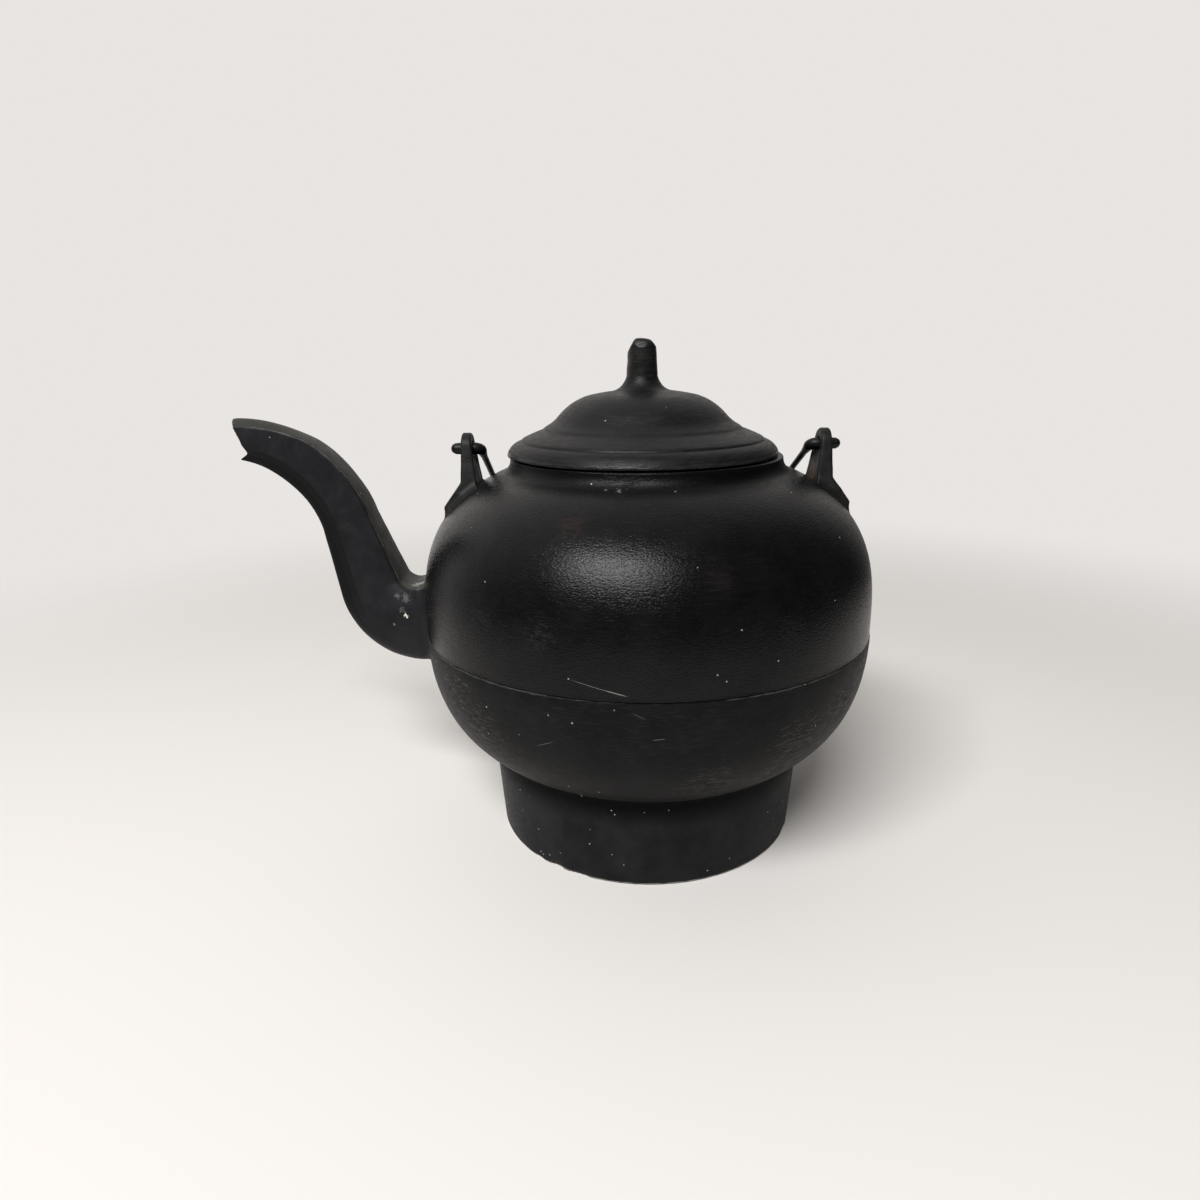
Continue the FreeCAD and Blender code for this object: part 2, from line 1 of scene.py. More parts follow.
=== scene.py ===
# %% [markdown]
# # A cast iron teapot
# This is a round pot of black cast iron on a tall foot, with a gooseneck spout, a stepped lid and a thin wire
# bail that lies folded behind it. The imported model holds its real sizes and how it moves. Each step here
# dresses one of its pieces: a mesh with the small faults of a casting, and a finish made from shader nodes.

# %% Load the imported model
import json
import math

import bmesh
import bpy
from mathutils import Matrix, Vector, noise


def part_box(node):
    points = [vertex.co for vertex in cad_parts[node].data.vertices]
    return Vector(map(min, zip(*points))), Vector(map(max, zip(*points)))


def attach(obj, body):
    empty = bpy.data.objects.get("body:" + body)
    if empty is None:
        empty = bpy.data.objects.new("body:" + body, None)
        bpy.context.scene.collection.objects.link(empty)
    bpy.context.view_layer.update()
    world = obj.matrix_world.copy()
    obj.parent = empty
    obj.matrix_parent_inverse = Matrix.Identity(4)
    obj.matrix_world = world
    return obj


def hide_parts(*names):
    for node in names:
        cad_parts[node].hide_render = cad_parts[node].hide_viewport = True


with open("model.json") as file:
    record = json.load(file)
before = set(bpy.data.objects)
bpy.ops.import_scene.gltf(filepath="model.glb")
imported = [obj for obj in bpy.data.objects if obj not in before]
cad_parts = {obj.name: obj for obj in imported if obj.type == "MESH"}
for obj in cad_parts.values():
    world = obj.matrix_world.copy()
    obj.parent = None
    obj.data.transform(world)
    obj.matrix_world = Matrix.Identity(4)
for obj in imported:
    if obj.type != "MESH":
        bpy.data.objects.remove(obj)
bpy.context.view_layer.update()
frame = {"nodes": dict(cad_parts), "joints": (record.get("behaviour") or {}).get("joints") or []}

MM = 0.001

# %% [markdown]
# ## The camera
# A camera held close to a pot makes its belly bulge and hides the back. The place and the lens below were
# worked out from the outlines in the photograph, so the render can be laid over it. The lens is written as a
# focal length in pixels of a 1200 pixel square picture, and turned into millimetres for Blender's sensor.

# %% Camera
PICTURE_SIDE = 1200
FOCAL_PIXELS = 812
CAMERA_PLACE = Vector((-21.08, -361.49, 215.1)) * MM
CAMERA_PITCH = 16.95
CAMERA_ROLL = -0.85

lens = bpy.data.cameras.new("photo_camera")
lens.sensor_width = 36
lens.lens = lens.sensor_width * FOCAL_PIXELS / PICTURE_SIDE
camera = bpy.data.objects.new("photo_camera", lens)
bpy.context.scene.collection.objects.link(camera)
tilt = Matrix.Rotation(math.radians(90 - CAMERA_PITCH), 4, "X")
roll = Matrix.Rotation(math.radians(CAMERA_ROLL), 4, "Z")
camera.matrix_world = Matrix.Translation(CAMERA_PLACE) @ tilt @ roll
bpy.context.scene.camera = camera
bpy.context.scene.view_settings.view_transform = "Standard"
print("lens", round(lens.lens, 2), "mm")

# %% [markdown]
# ## Two helpers for every finish
# A colour is written as an sRGB hex value, the way a colour picker shows it, while Blender's shaders work in
# linear light, so one function turns the first into the second. One more adds a shader node, sets its values
# and links its inputs. An input is named by its label, or by its number where two share a label.

# %% Colour and node helpers
def linear(hex_colour):
    """Turn an sRGB hex colour into the linear RGBA that Blender's sockets take."""
    channels = [int(hex_colour[start:start + 2], 16) / 255 for start in (1, 3, 5)]
    light = [c / 12.92 if c <= 0.04045 else ((c + 0.055) / 1.055) ** 2.4 for c in channels]
    return (*light, 1.0)


def add_node(tree, kind, settings=None, links=None):
    """Add a shader node, set its properties and inputs, and link inputs from other sockets."""
    node = tree.nodes.new("ShaderNode" + kind)
    for name, value in (settings or {}).items():
        if isinstance(name, int) or name in node.inputs:
            node.inputs[name].default_value = value
        else:
            setattr(node, name, value)
    for name, socket in (links or {}).items():
        tree.links.new(socket, node.inputs[name])
    return node


print("mid grey #808080 is", round(linear("#808080")[0], 3), "in linear light")

# %% [markdown]
# ## The table top
# The pot stands on a plain pale board. A board with an edge would draw a line behind the pot in some views, so
# its material fades to clear between two distances from the pot, and the pale room behind takes over.

# %% Table top
TABLE_SIDE = 3000 * MM
FADE_START = 300 * MM
FADE_END = 800 * MM

table_mesh = bpy.data.meshes.new("table_top")
half_table = TABLE_SIDE / 2
table_corners = [(x * half_table, y * half_table, 0) for x, y in ((-1, -1), (1, -1), (1, 1), (-1, 1))]
table_mesh.from_pydata(table_corners, [], [(0, 1, 2, 3)])
table_top = bpy.data.objects.new("table_top", table_mesh)
bpy.context.scene.collection.objects.link(table_top)


def pale_board():
    """Matt pale laminate: a soft warm white with no gloss to speak of, fading out far from the pot."""
    material = bpy.data.materials.new("matt_pale_laminate")
    material.use_nodes = True
    tree = material.node_tree
    tree.nodes.clear()
    place = add_node(tree, "TexCoord").outputs["Object"]
    far = add_node(tree, "VectorMath", {"operation": "LENGTH"}, {0: place}).outputs["Value"]
    fade = add_node(tree, "MapRange", {
        "interpolation_type": "SMOOTHSTEP", "From Min": FADE_START, "From Max": FADE_END},
        {"Value": far}).outputs["Result"]
    board = add_node(tree, "BsdfPrincipled", {
        "Base Color": linear("#F2EEEA"), "Roughness": 0.6, "Specular IOR Level": 0.2})
    clear = add_node(tree, "BsdfTransparent")
    mixed = add_node(tree, "MixShader", None, {0: fade, 1: board.outputs[0], 2: clear.outputs[0]})
    add_node(tree, "OutputMaterial", None, {"Surface": mixed.outputs[0]})
    return material


table_mesh.materials.append(pale_board())
print("table top", TABLE_SIDE, "m square, faded out from", FADE_START, "to", FADE_END, "m")

# %% [markdown]
# ## The room and its lamp
# The pot is black, so most of what the eye sees on it is a dim reflection of the room: a pale wall behind, a
# bright ceiling, a dark room in front, and one wide bright patch where a window stands in front and to the left.
# A picture of a room could light it, but one slope of brightness across the world does the same, and a soft
# rectangular lamp stands for the window. The camera sees the wall's own colour all round, so the pot can be
# looked at from every side.

# %% World
WALL_COLOUR = "#E9E5E2"
# the direction in which the room is brightest, and how far a direction agrees with it where the slope starts and ends
BRIGHT_SIDE = (-0.36, 0.76, 0.56)
ROOM_RANGE = (0.12, 0.95)
ROOM_DARKEST = 0.04
# matt surfaces get this share of the room's light, and mirrored ones all of it
MATT_SHARE = 0.55

world = bpy.data.worlds.new("pale_room")
bpy.context.scene.world = world
world.use_nodes = True
tree = world.node_tree
tree.nodes.clear()
rays = add_node(tree, "LightPath").outputs
towards = add_node(tree, "TexCoord").outputs["Generated"]
facing = add_node(tree, "VectorMath", {"operation": "DOT_PRODUCT", 1: BRIGHT_SIDE}, {0: towards}).outputs["Value"]
room = add_node(tree, "MapRange", {
    "interpolation_type": "SMOOTHSTEP", "From Min": ROOM_RANGE[0], "From Max": ROOM_RANGE[1],
    "To Min": ROOM_DARKEST, "To Max": 1.0}, {"Value": facing}).outputs["Result"]
matt = add_node(tree, "Math", {"operation": "MULTIPLY", 1: MATT_SHARE}, {0: room}).outputs[0]
mirrored = add_node(tree, "Math", {"operation": "MAXIMUM"}, {0: rays["Is Glossy Ray"], 1: rays["Is Transmission Ray"]})
level = add_node(tree, "Mix", {"data_type": "FLOAT"}, {0: mirrored.outputs[0], 2: matt, 3: room}).outputs[0]
level = add_node(tree, "Math", {"operation": "MAXIMUM"}, {0: level, 1: rays["Is Camera Ray"]}).outputs[0]
shown = add_node(tree, "Background", {"Color": linear(WALL_COLOUR)}, {"Strength": level})
add_node(tree, "OutputWorld", None, {"Surface": shown.outputs[0]})
print("room from", ROOM_DARKEST, "in front to 1 behind and above")


# %% Window lamp
def soft_lamp(name, aim, azimuth, elevation, distance, size, watts):
    """Hang a rectangular soft lamp at a distance from the point that it aims at, all in metres and degrees.

    Azimuth 0 is straight in front of the pot, on the camera's side, and grows towards the far ear.
    """
    lamp = bpy.data.lights.new(name, "AREA")
    lamp.shape = "RECTANGLE"
    lamp.size, lamp.size_y = size
    lamp.energy = watts
    turn, rise = math.radians(azimuth), math.radians(elevation)
    towards = Vector((math.sin(turn) * math.cos(rise), -math.cos(turn) * math.cos(rise), math.sin(rise)))
    hung = bpy.data.objects.new(name, lamp)
    hung.location = Vector(aim) + towards * distance
    hung.rotation_euler = towards.to_track_quat("Z", "Y").to_euler()
    bpy.context.scene.collection.objects.link(hung)
    return hung


POT_MIDDLE = (0, 0, 0.11)
window = soft_lamp("window_lamp", POT_MIDDLE, azimuth=-24, elevation=48, distance=1.9, size=(1.2, 0.40), watts=41)
print("window lamp at", [round(value, 2) for value in window.location])

# %% [markdown]
# ## What black iron looks like
# The pot was cast in sand, then blackened and rubbed with tea and oil until a dark film covered it. The film is
# what the eye sees: almost black, satin, not a bare metal. A painted texture could show it, but a recipe of
# nodes works from every side and at any distance. The recipe has layers: a slow mottling, a fine grain from the
# sand, streaks that run round the pot from brushing, pits, pale dust, rust tints, and iron laid bare at edges.
# The mesh of a piece carries how worn it is at each point, and where painted shade and painted light lie
# on it, as marks that its finish reads.

# %% Patterns in the film
# the edge of a scarred patch, in shares of its radius: how far noise carries it, where it starts and where it is full;
# the noise is about a half, so the patch ends near its radius
PATCH_EDGE = (2.6, 2.3, 1.75)


def film_patterns(tree, look):
    """Noises that the layers of a film share, by name. Sizes in look are in mm, as is the place they start from."""
    metres = add_node(tree, "TexCoord").outputs["Object"]
    place = add_node(tree, "VectorMath", {"operation": "SCALE", "Scale": 1 / MM}, {0: metres}).outputs["Vector"]
    stretched = {}
    # a turn in radians, and how flat the place is squashed from above
    for name, turn, flatness in (("level", (0, 0, 0), 1 / look["streak_ratio"]), ("slant", (0.06, -0.12, 0), 0.06),
                                 ("flat", (0, 0, 0), 0.6)):
        stretched[name] = add_node(tree, "Mapping", {
            "vector_type": "TEXTURE", "Rotation": turn, "Scale": (1, 1, flatness)}, {0: place}).outputs[0]
    pattern = {"place": place}
    # the place that a noise is drawn in, how much finer noise it adds and how much it wavers
    for name, vector, detail, waver in (
            ("mottle", place, 3.0, 0.0), ("streak", stretched["level"], 4.0, 0.0),
            ("grain", stretched["flat"], 2.0, 0.0), ("scar", stretched["level"], 3.0, 0.4),
            ("scratch", stretched["slant"], 1.0, 0.6)):
        noise_node = add_node(tree, "TexNoise", {
            "Scale": 1 / look[name + "_size"], "Detail": detail, "Roughness": 0.6, "Distortion": waver},
            {"Vector": vector})
        pattern[name] = noise_node.outputs["Fac"]
    patch = add_node(tree, "MapRange", {"From Min": 0.50, "From Max": 0.62, "To Max": look["patchy"]},
                     {"Value": pattern["mottle"]}).outputs[0]
    for middle, radius in look.get("scarred", ()):
        wander, outer, inner = (radius * share for share in PATCH_EDGE)
        away = add_node(tree, "VectorMath", {"operation": "DISTANCE", 1: middle}, {0: place}).outputs["Value"]
        ragged = add_node(tree, "Math", {"operation": "MULTIPLY_ADD", 1: wander}, {0: pattern["scar"], 2: away})
        near = add_node(tree, "MapRange", {"From Min": outer, "From Max": inner}, {"Value": ragged.outputs[0]})
        patch = add_node(tree, "Math", {"operation": "MAXIMUM"}, {0: patch, 1: near.outputs[0]}).outputs[0]
    cells = add_node(tree, "TexVoronoi", {"Scale": 1 / look["pit_spacing"]}, {"Vector": place}).outputs["Distance"]
    pattern["scar_noise"] = pattern["scar"]
    # the values of a noise where its mark starts to show and where it is full
    for name, source, start, full in (("pit", cells, 0.26, 0.10), ("scar", pattern["scar"], 0.53, 0.61),
                                      ("scratch", pattern["scratch"], 0.58, 0.67)):
        mask = add_node(tree, "MapRange", {"From Min": start, "From Max": full}, {"Value": source}).outputs[0]
        pattern[name] = add_node(tree, "Math", {"operation": "MULTIPLY"}, {0: mask, 1: patch}).outputs[0]
    return pattern


def film_relief(tree, look, pattern):
    """The film's small heights in mm, added up and turned into a bump."""
    height = None
    for name, way in (("grain", 1), ("streak", 1), ("pit", -1), ("scar", -1)):
        depth = way * look[name + "_depth"]
        raised = {0: pattern[name]} if height is None else {0: pattern[name], 2: height}
        height = add_node(tree, "Math", {"operation": "MULTIPLY_ADD", 1: depth}, raised).outputs[0]
    return add_node(tree, "Bump", {"Strength": 1.0, "Distance": MM}, {"Height": height}).outputs[0]


print("patterns: mottle, streak, grain, scar, scratch and pit")


# %% Specks, stains and nicks
SPECK_COLOUR = "#B9B5AE"
NICK_COLOUR = "#B4B2AE"
# a stain's edge, in shares of its radius as for a patch, and the radius in mm from which it wanders in longer waves
STAIN_EDGE = (3.0, 2.3, 1.9)
BROAD_STAIN = 4


def film_marks(tree, look, pattern):
    """Marks at their own places: pairs of a mask from 0 to 1 and the colour that shows there."""
    marks = []
    place = pattern["place"]
    for stain in look.get("stains", ()):
        radius = stain["radius"]
        wander, outer, inner = STAIN_EDGE
        away = add_node(tree, "VectorMath", {"operation": "DISTANCE", 1: stain["place"]}, {0: place}).outputs["Value"]
        edge_noise = pattern["grain" if radius < BROAD_STAIN else "scar_noise"]
        ragged = add_node(tree, "Math", {"operation": "MULTIPLY_ADD", 1: radius * wander}, {0: edge_noise, 2: away})
        mask = add_node(tree, "MapRange", {
            "From Min": radius * outer, "From Max": radius * stain.get("soft", inner), "To Max": stain["strength"]},
            {"Value": ragged.outputs[0]}).outputs[0]
        marks.append((mask, stain["colour"]))
    for start, end, width, strength in look.get("nicks", ()):
        length = Vector(end) - Vector(start)
        middle, half = (Vector(start) + Vector(end)) / 2, length.length / 2
        across = length.cross(middle * Vector((1, 1, 0))).normalized()
        off = add_node(tree, "VectorMath", {"operation": "DOT_PRODUCT", 1: across}, {0: place}).outputs["Value"]
        beside = add_node(tree, "Math", {"operation": "COMPARE", 1: middle.dot(across), 2: width / 2}, {0: off})
        away = add_node(tree, "VectorMath", {"operation": "DISTANCE", 1: middle}, {0: place}).outputs["Value"]
        along = add_node(tree, "MapRange", {"From Min": half, "From Max": half * 0.5, "To Max": strength},
                         {"Value": away})
        mask = add_node(tree, "Math", {"operation": "MULTIPLY"}, {0: beside.outputs[0], 1: along.outputs[0]}).outputs[0]
        marks.append((mask, NICK_COLOUR))
    cells = add_node(tree, "TexVoronoi", {"Scale": 1 / look["speck_spacing"]}, {"Vector": place})
    edge = look["speck_radius"] / look["speck_spacing"]
    speck = add_node(tree, "MapRange", {"From Min": edge, "From Max": edge * 0.6}, {"Value": cells.outputs["Distance"]})
    chance = add_node(tree, "SeparateColor", None, {0: cells.outputs["Color"]}).outputs[0]
    chosen = add_node(tree, "Math", {"operation": "LESS_THAN", 1: look["speck_share"]}, {0: chance}).outputs[0]
    mask = add_node(tree, "Math", {"operation": "MULTIPLY"}, {0: speck.outputs[0], 1: chosen}).outputs[0]
    marks.append((mask, SPECK_COLOUR))
    worn = add_node(tree, "Attribute", {"attribute_name": "worn"}).outputs["Fac"]
    bare = add_node(tree, "Math", {"operation": "MULTIPLY"}, {0: worn, 1: pattern["streak"]}).outputs[0]
    mask = add_node(tree, "MapRange", {"From Min": 0.30, "From Max": 0.55, "To Max": look["bare"]}, {"Value": bare})
    marks.append((mask.outputs[0], look["bare_colour"]))
    return marks


print("marks: stains, nicks, specks and bare iron")


# %% Black iron recipe
SCAR_COLOUR = "#040404"
# painted shade: a near-black colour, and roughness added with it, where a piece's mesh marks painted shade
PAINTED_SHADE_COLOUR = "#030303"
PAINTED_SHADE_ROUGH = 0.2


def iron_finish(name, look):
    """Make one finish of blackened iron from the values in look."""
    material = bpy.data.materials.new(name)
    material.use_nodes = True
    tree = material.node_tree
    tree.nodes.clear()
    pattern = film_patterns(tree, look)
    layers = []
    for source, start, full, strength, tint in (
            ("streak", 0.50, 0.75, look["dust"], look["dust_colour"]), ("scar", 0.0, 1.0, look["scar"], SCAR_COLOUR),
            ("scratch", 0.0, 1.0, look["scratch"], look["dust_colour"])):
        mask = add_node(tree, "MapRange", {"From Min": start, "From Max": full, "To Max": strength},
                        {"Value": pattern[source]})
        layers.append((mask.outputs[0], tint))
    # painted shade, read from the mesh, darkens the film
    painted_shade = add_node(tree, "Attribute", {"attribute_name": "painted_shade"}).outputs["Fac"]
    layers.append((painted_shade, PAINTED_SHADE_COLOUR))
    # painted light, read from the mesh, lightens the film
    painted_light = add_node(tree, "Attribute", {"attribute_name": "painted_light"}).outputs["Fac"]
    layers.append((painted_light, look["painted_light_colour"]))
    shade = add_node(tree, "MapRange", {"From Min": 0.35, "From Max": 0.68}, {"Value": pattern["mottle"]}).outputs[0]
    colour = add_node(tree, "Mix", {"data_type": "RGBA", 6: linear(look["film"]), 7: linear(look["film_light"])},
                      {0: shade}).outputs[2]
    marks = film_marks(tree, look, pattern)
    for mask, tint in layers + marks:
        colour = add_node(tree, "Mix", {"data_type": "RGBA", 7: linear(tint)}, {0: mask, 6: colour}).outputs[2]
    low, high = look["roughness"]
    rough = add_node(tree, "MapRange", {"From Min": 0.32, "From Max": 0.70, "To Min": low, "To Max": high},
                     {"Value": pattern["streak"]}).outputs[0]
    for mask, change in ((pattern["scar"], look["scar_rough"]), (painted_shade, PAINTED_SHADE_ROUGH), (marks[-1][0], -look["rubbed"])):
        rough = add_node(tree, "Math", {"operation": "MULTIPLY_ADD", 1: change}, {0: mask, 2: rough}).outputs[0]
    surface = add_node(tree, "BsdfPrincipled", {
        "Specular IOR Level": look["gloss"], "Sheen Weight": look["sheen"], "Sheen Roughness": 0.4,
        "Sheen Tint": linear(look["dust_colour"])},
        {"Base Color": colour, "Roughness": rough, "Normal": film_relief(tree, look, pattern)})
    add_node(tree, "OutputMaterial", None, {"Surface": surface.outputs[0]})
    return material


# Black film on cast iron: near black and satin, faintly mottled, with a soft grain that breaks up its highlights.
# It is oxide and baked oil, so it isn't metallic, and its gloss was brought down from the usual 0.5 to match.
# Sizes, spacings, radii and depths are in mm. The sand's own grain is about 0.3 mm, too fine to show here, so it is
# drawn coarser, at 1 mm.
BLACK_IRON = {
    "film": "#0B0B0C", "film_light": "#121213", "gloss": 0.2, "roughness": (0.26, 0.38), "sheen": 0.0,
    "mottle_size": 16.0, "streak_size": 5.0, "streak_ratio": 7.0, "streak_depth": 0.05,
    "grain_size": 1.0, "grain_depth": 0.09, "patchy": 0.3, "pit_spacing": 2.4, "pit_depth": 0.12,
    "scar_size": 3.4, "scar": 0.5, "scar_depth": 0.06, "scar_rough": 0.2, "scratch_size": 5.0, "scratch": 0.0,
    "dust": 0.03, "dust_colour": "#6A6866", "speck_spacing": 6.0, "speck_radius": 0.4, "speck_share": 0.3,
    # the last colour here is the one that painted light takes, where a piece's mesh marks it
    "bare": 0.6, "bare_colour": "#6B6965", "rubbed": 0.2, "painted_light_colour": "#2C2C29",
}
print("black iron recipe with", len(BLACK_IRON), "values")

# %% [markdown]
# ## Turned castings
# The shells, the foot, the lid and its knob are round, so each can be drawn as half an outline and turned round
# the axis, as a potter's template does. The Screw modifier would do it too, but turning the points in code lets
# each one be pressed in a little on its way: real sand castings are never quite even. The unevenness only ever
# goes inward, so the piece stays inside the size of the CAD model.

# %% Turning an outline
def outline_directions(outline):
    """Outward direction, in radius and height, at each point of an outline that runs up its outside."""
    directions = []
    for index in range(len(outline)):
        before = outline[index - 1]
        after = outline[(index + 1) % len(outline)]
        if outline[0][0] == 0 and index in (0, len(outline) - 1):
            directions.append((0.0, -1.0 if index == 0 else 1.0))
            continue
        along = Vector((after[0] - before[0], after[1] - before[1])).normalized()
        directions.append((along.y, -along.x))
    return directions


def turned(name, outline, segments, press, centre=0.0):
    """Turn an outline of (radius, height, worn) points, in mm, round an upright axis at x = centre.

    press(place) says how far in mm a point sinks below the outline, at its place on the pot.
    """
    closed = outline[0][0] > 0
    directions = outline_directions(outline)
    points, worn, faces = [], [], []
    for step in range(segments):
        turn = 2 * math.pi * step / segments
        around = Vector((math.cos(turn), math.sin(turn), 0))
        for (radius, height, wear), (out, up) in zip(outline, directions):
            place = around * radius + Vector((centre, 0, height))
            side = around * out + Vector((0, 0, up))
            points.append((place - side * press(place)) * MM)
            worn.append(wear)
    count = len(outline)
    for step in range(segments):
        here, there = step * count, (step + 1) % segments * count
        for index in range(count if closed else count - 1):
            after = (index + 1) % count
            faces.append((here + index, there + index, there + after, here + after))
    mesh = bpy.data.meshes.new(name)
    mesh.from_pydata(points, [], faces)
    mesh.attributes.new("worn", "FLOAT", "POINT").data.foreach_set("value", worn)
    if not closed:
        shell = bmesh.new()
        shell.from_mesh(mesh)
        bmesh.ops.remove_doubles(shell, verts=shell.verts, dist=0.0005 * MM)
        shell.to_mesh(mesh)
        shell.free()
    piece = bpy.data.objects.new(name, mesh)
    bpy.context.scene.collection.objects.link(piece)
    return piece


print("a turned point takes its wear from the outline")


# %% Skin, marks and dressing
def clamped(value):
    """A value held between 0 and 1."""
    return min(1.0, max(0.0, value))


def mark(piece, name, values):
    """Keep one value from 0 to 1 for each point of a piece's mesh, for its finish to read."""
    piece.data.attributes.new(name, "FLOAT", "POINT").data.foreach_set("value", values)


def hollow(place, size, depth, seed):
    """How far an uneven skin sinks at a place, from 0 to depth in mm, in lumps of a size in mm."""
    return depth * (0.5 - 0.5 * noise.noise(Vector(place) / size + Vector((seed, seed, 0))))


def dressed(piece, body, node, material, crease=40):
    """Give a finished piece its shading and finish, hide the CAD node that it stands for, and attach it to its body."""
    piece.data.shade_smooth()
    piece.data.set_sharp_from_angle(angle=math.radians(crease))
    piece.data.materials.clear()
    piece.data.materials.append(material)
    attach(piece, body)
    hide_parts(node)
    low, high = [[round(c / MM, 1) for c in corner] for corner in (
        [min(v.co[axis] for v in piece.data.vertices) for axis in range(3)],
        [max(v.co[axis] for v in piece.data.vertices) for axis in range(3)])]
    print(piece.name, len(piece.data.polygons), "faces, from", low, "to", high, "mm")


print("an outline point sinks", round(hollow((100, 0, 100), 25, 0.3, 1), 3), "mm at the belly")


# %% Stretches of an outline
def straight(start, end, steps, wear=0.0):
    """Points of a straight stretch of an outline, without its last one."""
    return [(start[0] + (end[0] - start[0]) * step / steps, start[1] + (end[1] - start[1]) * step / steps, wear)
            for step in range(steps)]


def rounded(centre, radius, first, last, steps, wear=0.0):
    """Points of an arc of an outline, angles in degrees from straight out, both ends included."""
    turns = [math.radians(first + (last - first) * step / steps) for step in range(steps + 1)]
    return [(centre[0] + radius * math.cos(t), centre[1] + radius * math.sin(t), wear) for t in turns]


print("a quarter round in 4 steps has", len(rounded((0, 0), 1, 0, 90, 4)), "points")

# %% [markdown]
# ## The belly's two ovals
# The belly is fuller than a ball: its outline is a superellipse, the curve that lies between an ellipse and a
# box. One power shapes the shoulder and another the bowl. The widest ring and the seam come from the frame, and
# the powers were found from the photograph's outline.

# %% Belly outline
seam_low, rim_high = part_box("upper_shell")
BELLY_RADIUS = rim_high.x / MM
SEAM_HEIGHT = seam_low.z / MM
RIM_HEIGHT = rim_high.z / MM
SEAM_DROP = 7.1
BELLY_HEIGHT = SEAM_HEIGHT + SEAM_DROP
SHOULDER = {"rise": 70.0, "power": 2.66, "way": 1}
BOWL = {"rise": 76.3, "power": 2.75, "way": -1}
WALL = 3.5


def oval(shape, inset, first, last, steps):
    """Points of an oval outline between two heights above, or below, the widest ring."""
    rise = shape["rise"] - inset
    power = shape["power"]
    start = math.asin(min(1, first / rise) ** (power / 2))
    end = math.asin(min(1, last / rise) ** (power / 2))
    points = []
    for step in range(steps + 1):
        turn = start + (end - start) * step / steps
        radius = (BELLY_RADIUS - inset) * max(0, math.cos(turn)) ** (2 / power)
        points.append((radius, BELLY_HEIGHT + shape["way"] * rise * math.sin(turn) ** (2 / power), 0.0))
    return points


def oval_rise(shape, inset, radius):
    """How far above, or below, its widest ring an oval has narrowed to a radius."""
    power = shape["power"]
    share = (radius / (BELLY_RADIUS - inset)) ** power
    return (shape["rise"] - inset) * (1 - share) ** (1 / power)


def above_belly(place):
    """Height of a place above the belly's outside, in mm, and the belly's outward direction there."""
    shape = SHOULDER if place.z > BELLY_HEIGHT else BOWL
    power = shape["power"]
    from_axis = math.hypot(place.x, place.y)
    out_share, up_share = from_axis / BELLY_RADIUS, abs(place.z - BELLY_HEIGHT) / shape["rise"]
    slope = Vector((
        out_share ** (power - 1) / BELLY_RADIUS, shape["way"] * up_share ** (power - 1) / shape["rise"])) * power
    outward = Vector((slope.x * place.x / from_axis, slope.x * place.y / from_axis, slope.y)).normalized()
    return (out_share ** power + up_share ** power - 1) / slope.length, outward


print("belly", round(2 * BELLY_RADIUS, 1), "mm wide, seam at", round(SEAM_HEIGHT, 1), "rim at", round(RIM_HEIGHT, 1))

# %% [markdown]
# ## The upper casting
# The shoulder, the upper belly and the short neck are one casting, open at the seam. It was brushed and rubbed
# after casting, so it is the smoothest part of the pot. Its outline runs up the outside, over the rim and down
# the inside, which gives the wall its real thickness when the lid is lifted.

# %% Upper shell outline
NECK_RADIUS = 59.6
NECK_COVE = 6.0
RIM_ROUND = 0.8
MOUTH_RADIUS = 54.2


def cove_start():
    """Place on the shoulder, and direction out of it, where the cove runs into it without a crease."""
    near, far = NECK_RADIUS, NECK_RADIUS + 2 * NECK_COVE
    for _ in range(40):
        radius = (near + far) / 2
        start = Vector((radius, 0, BELLY_HEIGHT + oval_rise(SHOULDER, 0, radius)))
        outward = above_belly(start)[1]
        if radius + NECK_COVE * outward.x < NECK_RADIUS + NECK_COVE:
            near = radius
        else:
            far = radius
    return start, outward


shoulder_end, shoulder_side = cove_start()
cove_centre = shoulder_end + shoulder_side * NECK_COVE
cove_turn = 180 + math.degrees(math.atan2(shoulder_side.z, shoulder_side.x))
mouth_rise = oval_rise(SHOULDER, WALL, MOUTH_RADIUS)
upper_outline = (
    oval(BOWL, 0, SEAM_DROP, 0, 6)[:-1]
    + oval(SHOULDER, 0, 0, shoulder_end.z - BELLY_HEIGHT, 64)[:-1]
    + rounded((cove_centre.x, cove_centre.z), NECK_COVE, cove_turn, 180, 10)
    + rounded((NECK_RADIUS - RIM_ROUND, RIM_HEIGHT - RIM_ROUND), RIM_ROUND, 0, 90, 5, 0.45)
    + rounded((MOUTH_RADIUS + RIM_ROUND, RIM_HEIGHT - RIM_ROUND), RIM_ROUND, 90, 180, 4, 0.4)
    + oval(SHOULDER, WALL, mouth_rise, 0, 28)
    + oval(BOWL, WALL, 0, SEAM_DROP, 4)[1:]
)


def press_upper(place):
    """Slow unevenness from the mould, and shallow dents a few mm wide."""
    return hollow(place, size=30, depth=0.16, seed=2) + hollow(place, size=7, depth=0.05, seed=5)


print("upper outline of", len(upper_outline), "points, cove from", round(shoulder_end.z, 1), "mm up")

# %% [markdown]
# Where the spout joins, tea has to pass through the wall. A Boolean modifier cuts that hole: it takes one mesh
# away from another, and is then applied so that the cutter can go.

# %% Cutting the spout's hole
# half width and half height of the hole, in mm, and the rod that cuts it
SPOUT_HOLE = (12.4, 16.35)
ROD_LENGTH = 40
ROD_CENTRE = -100


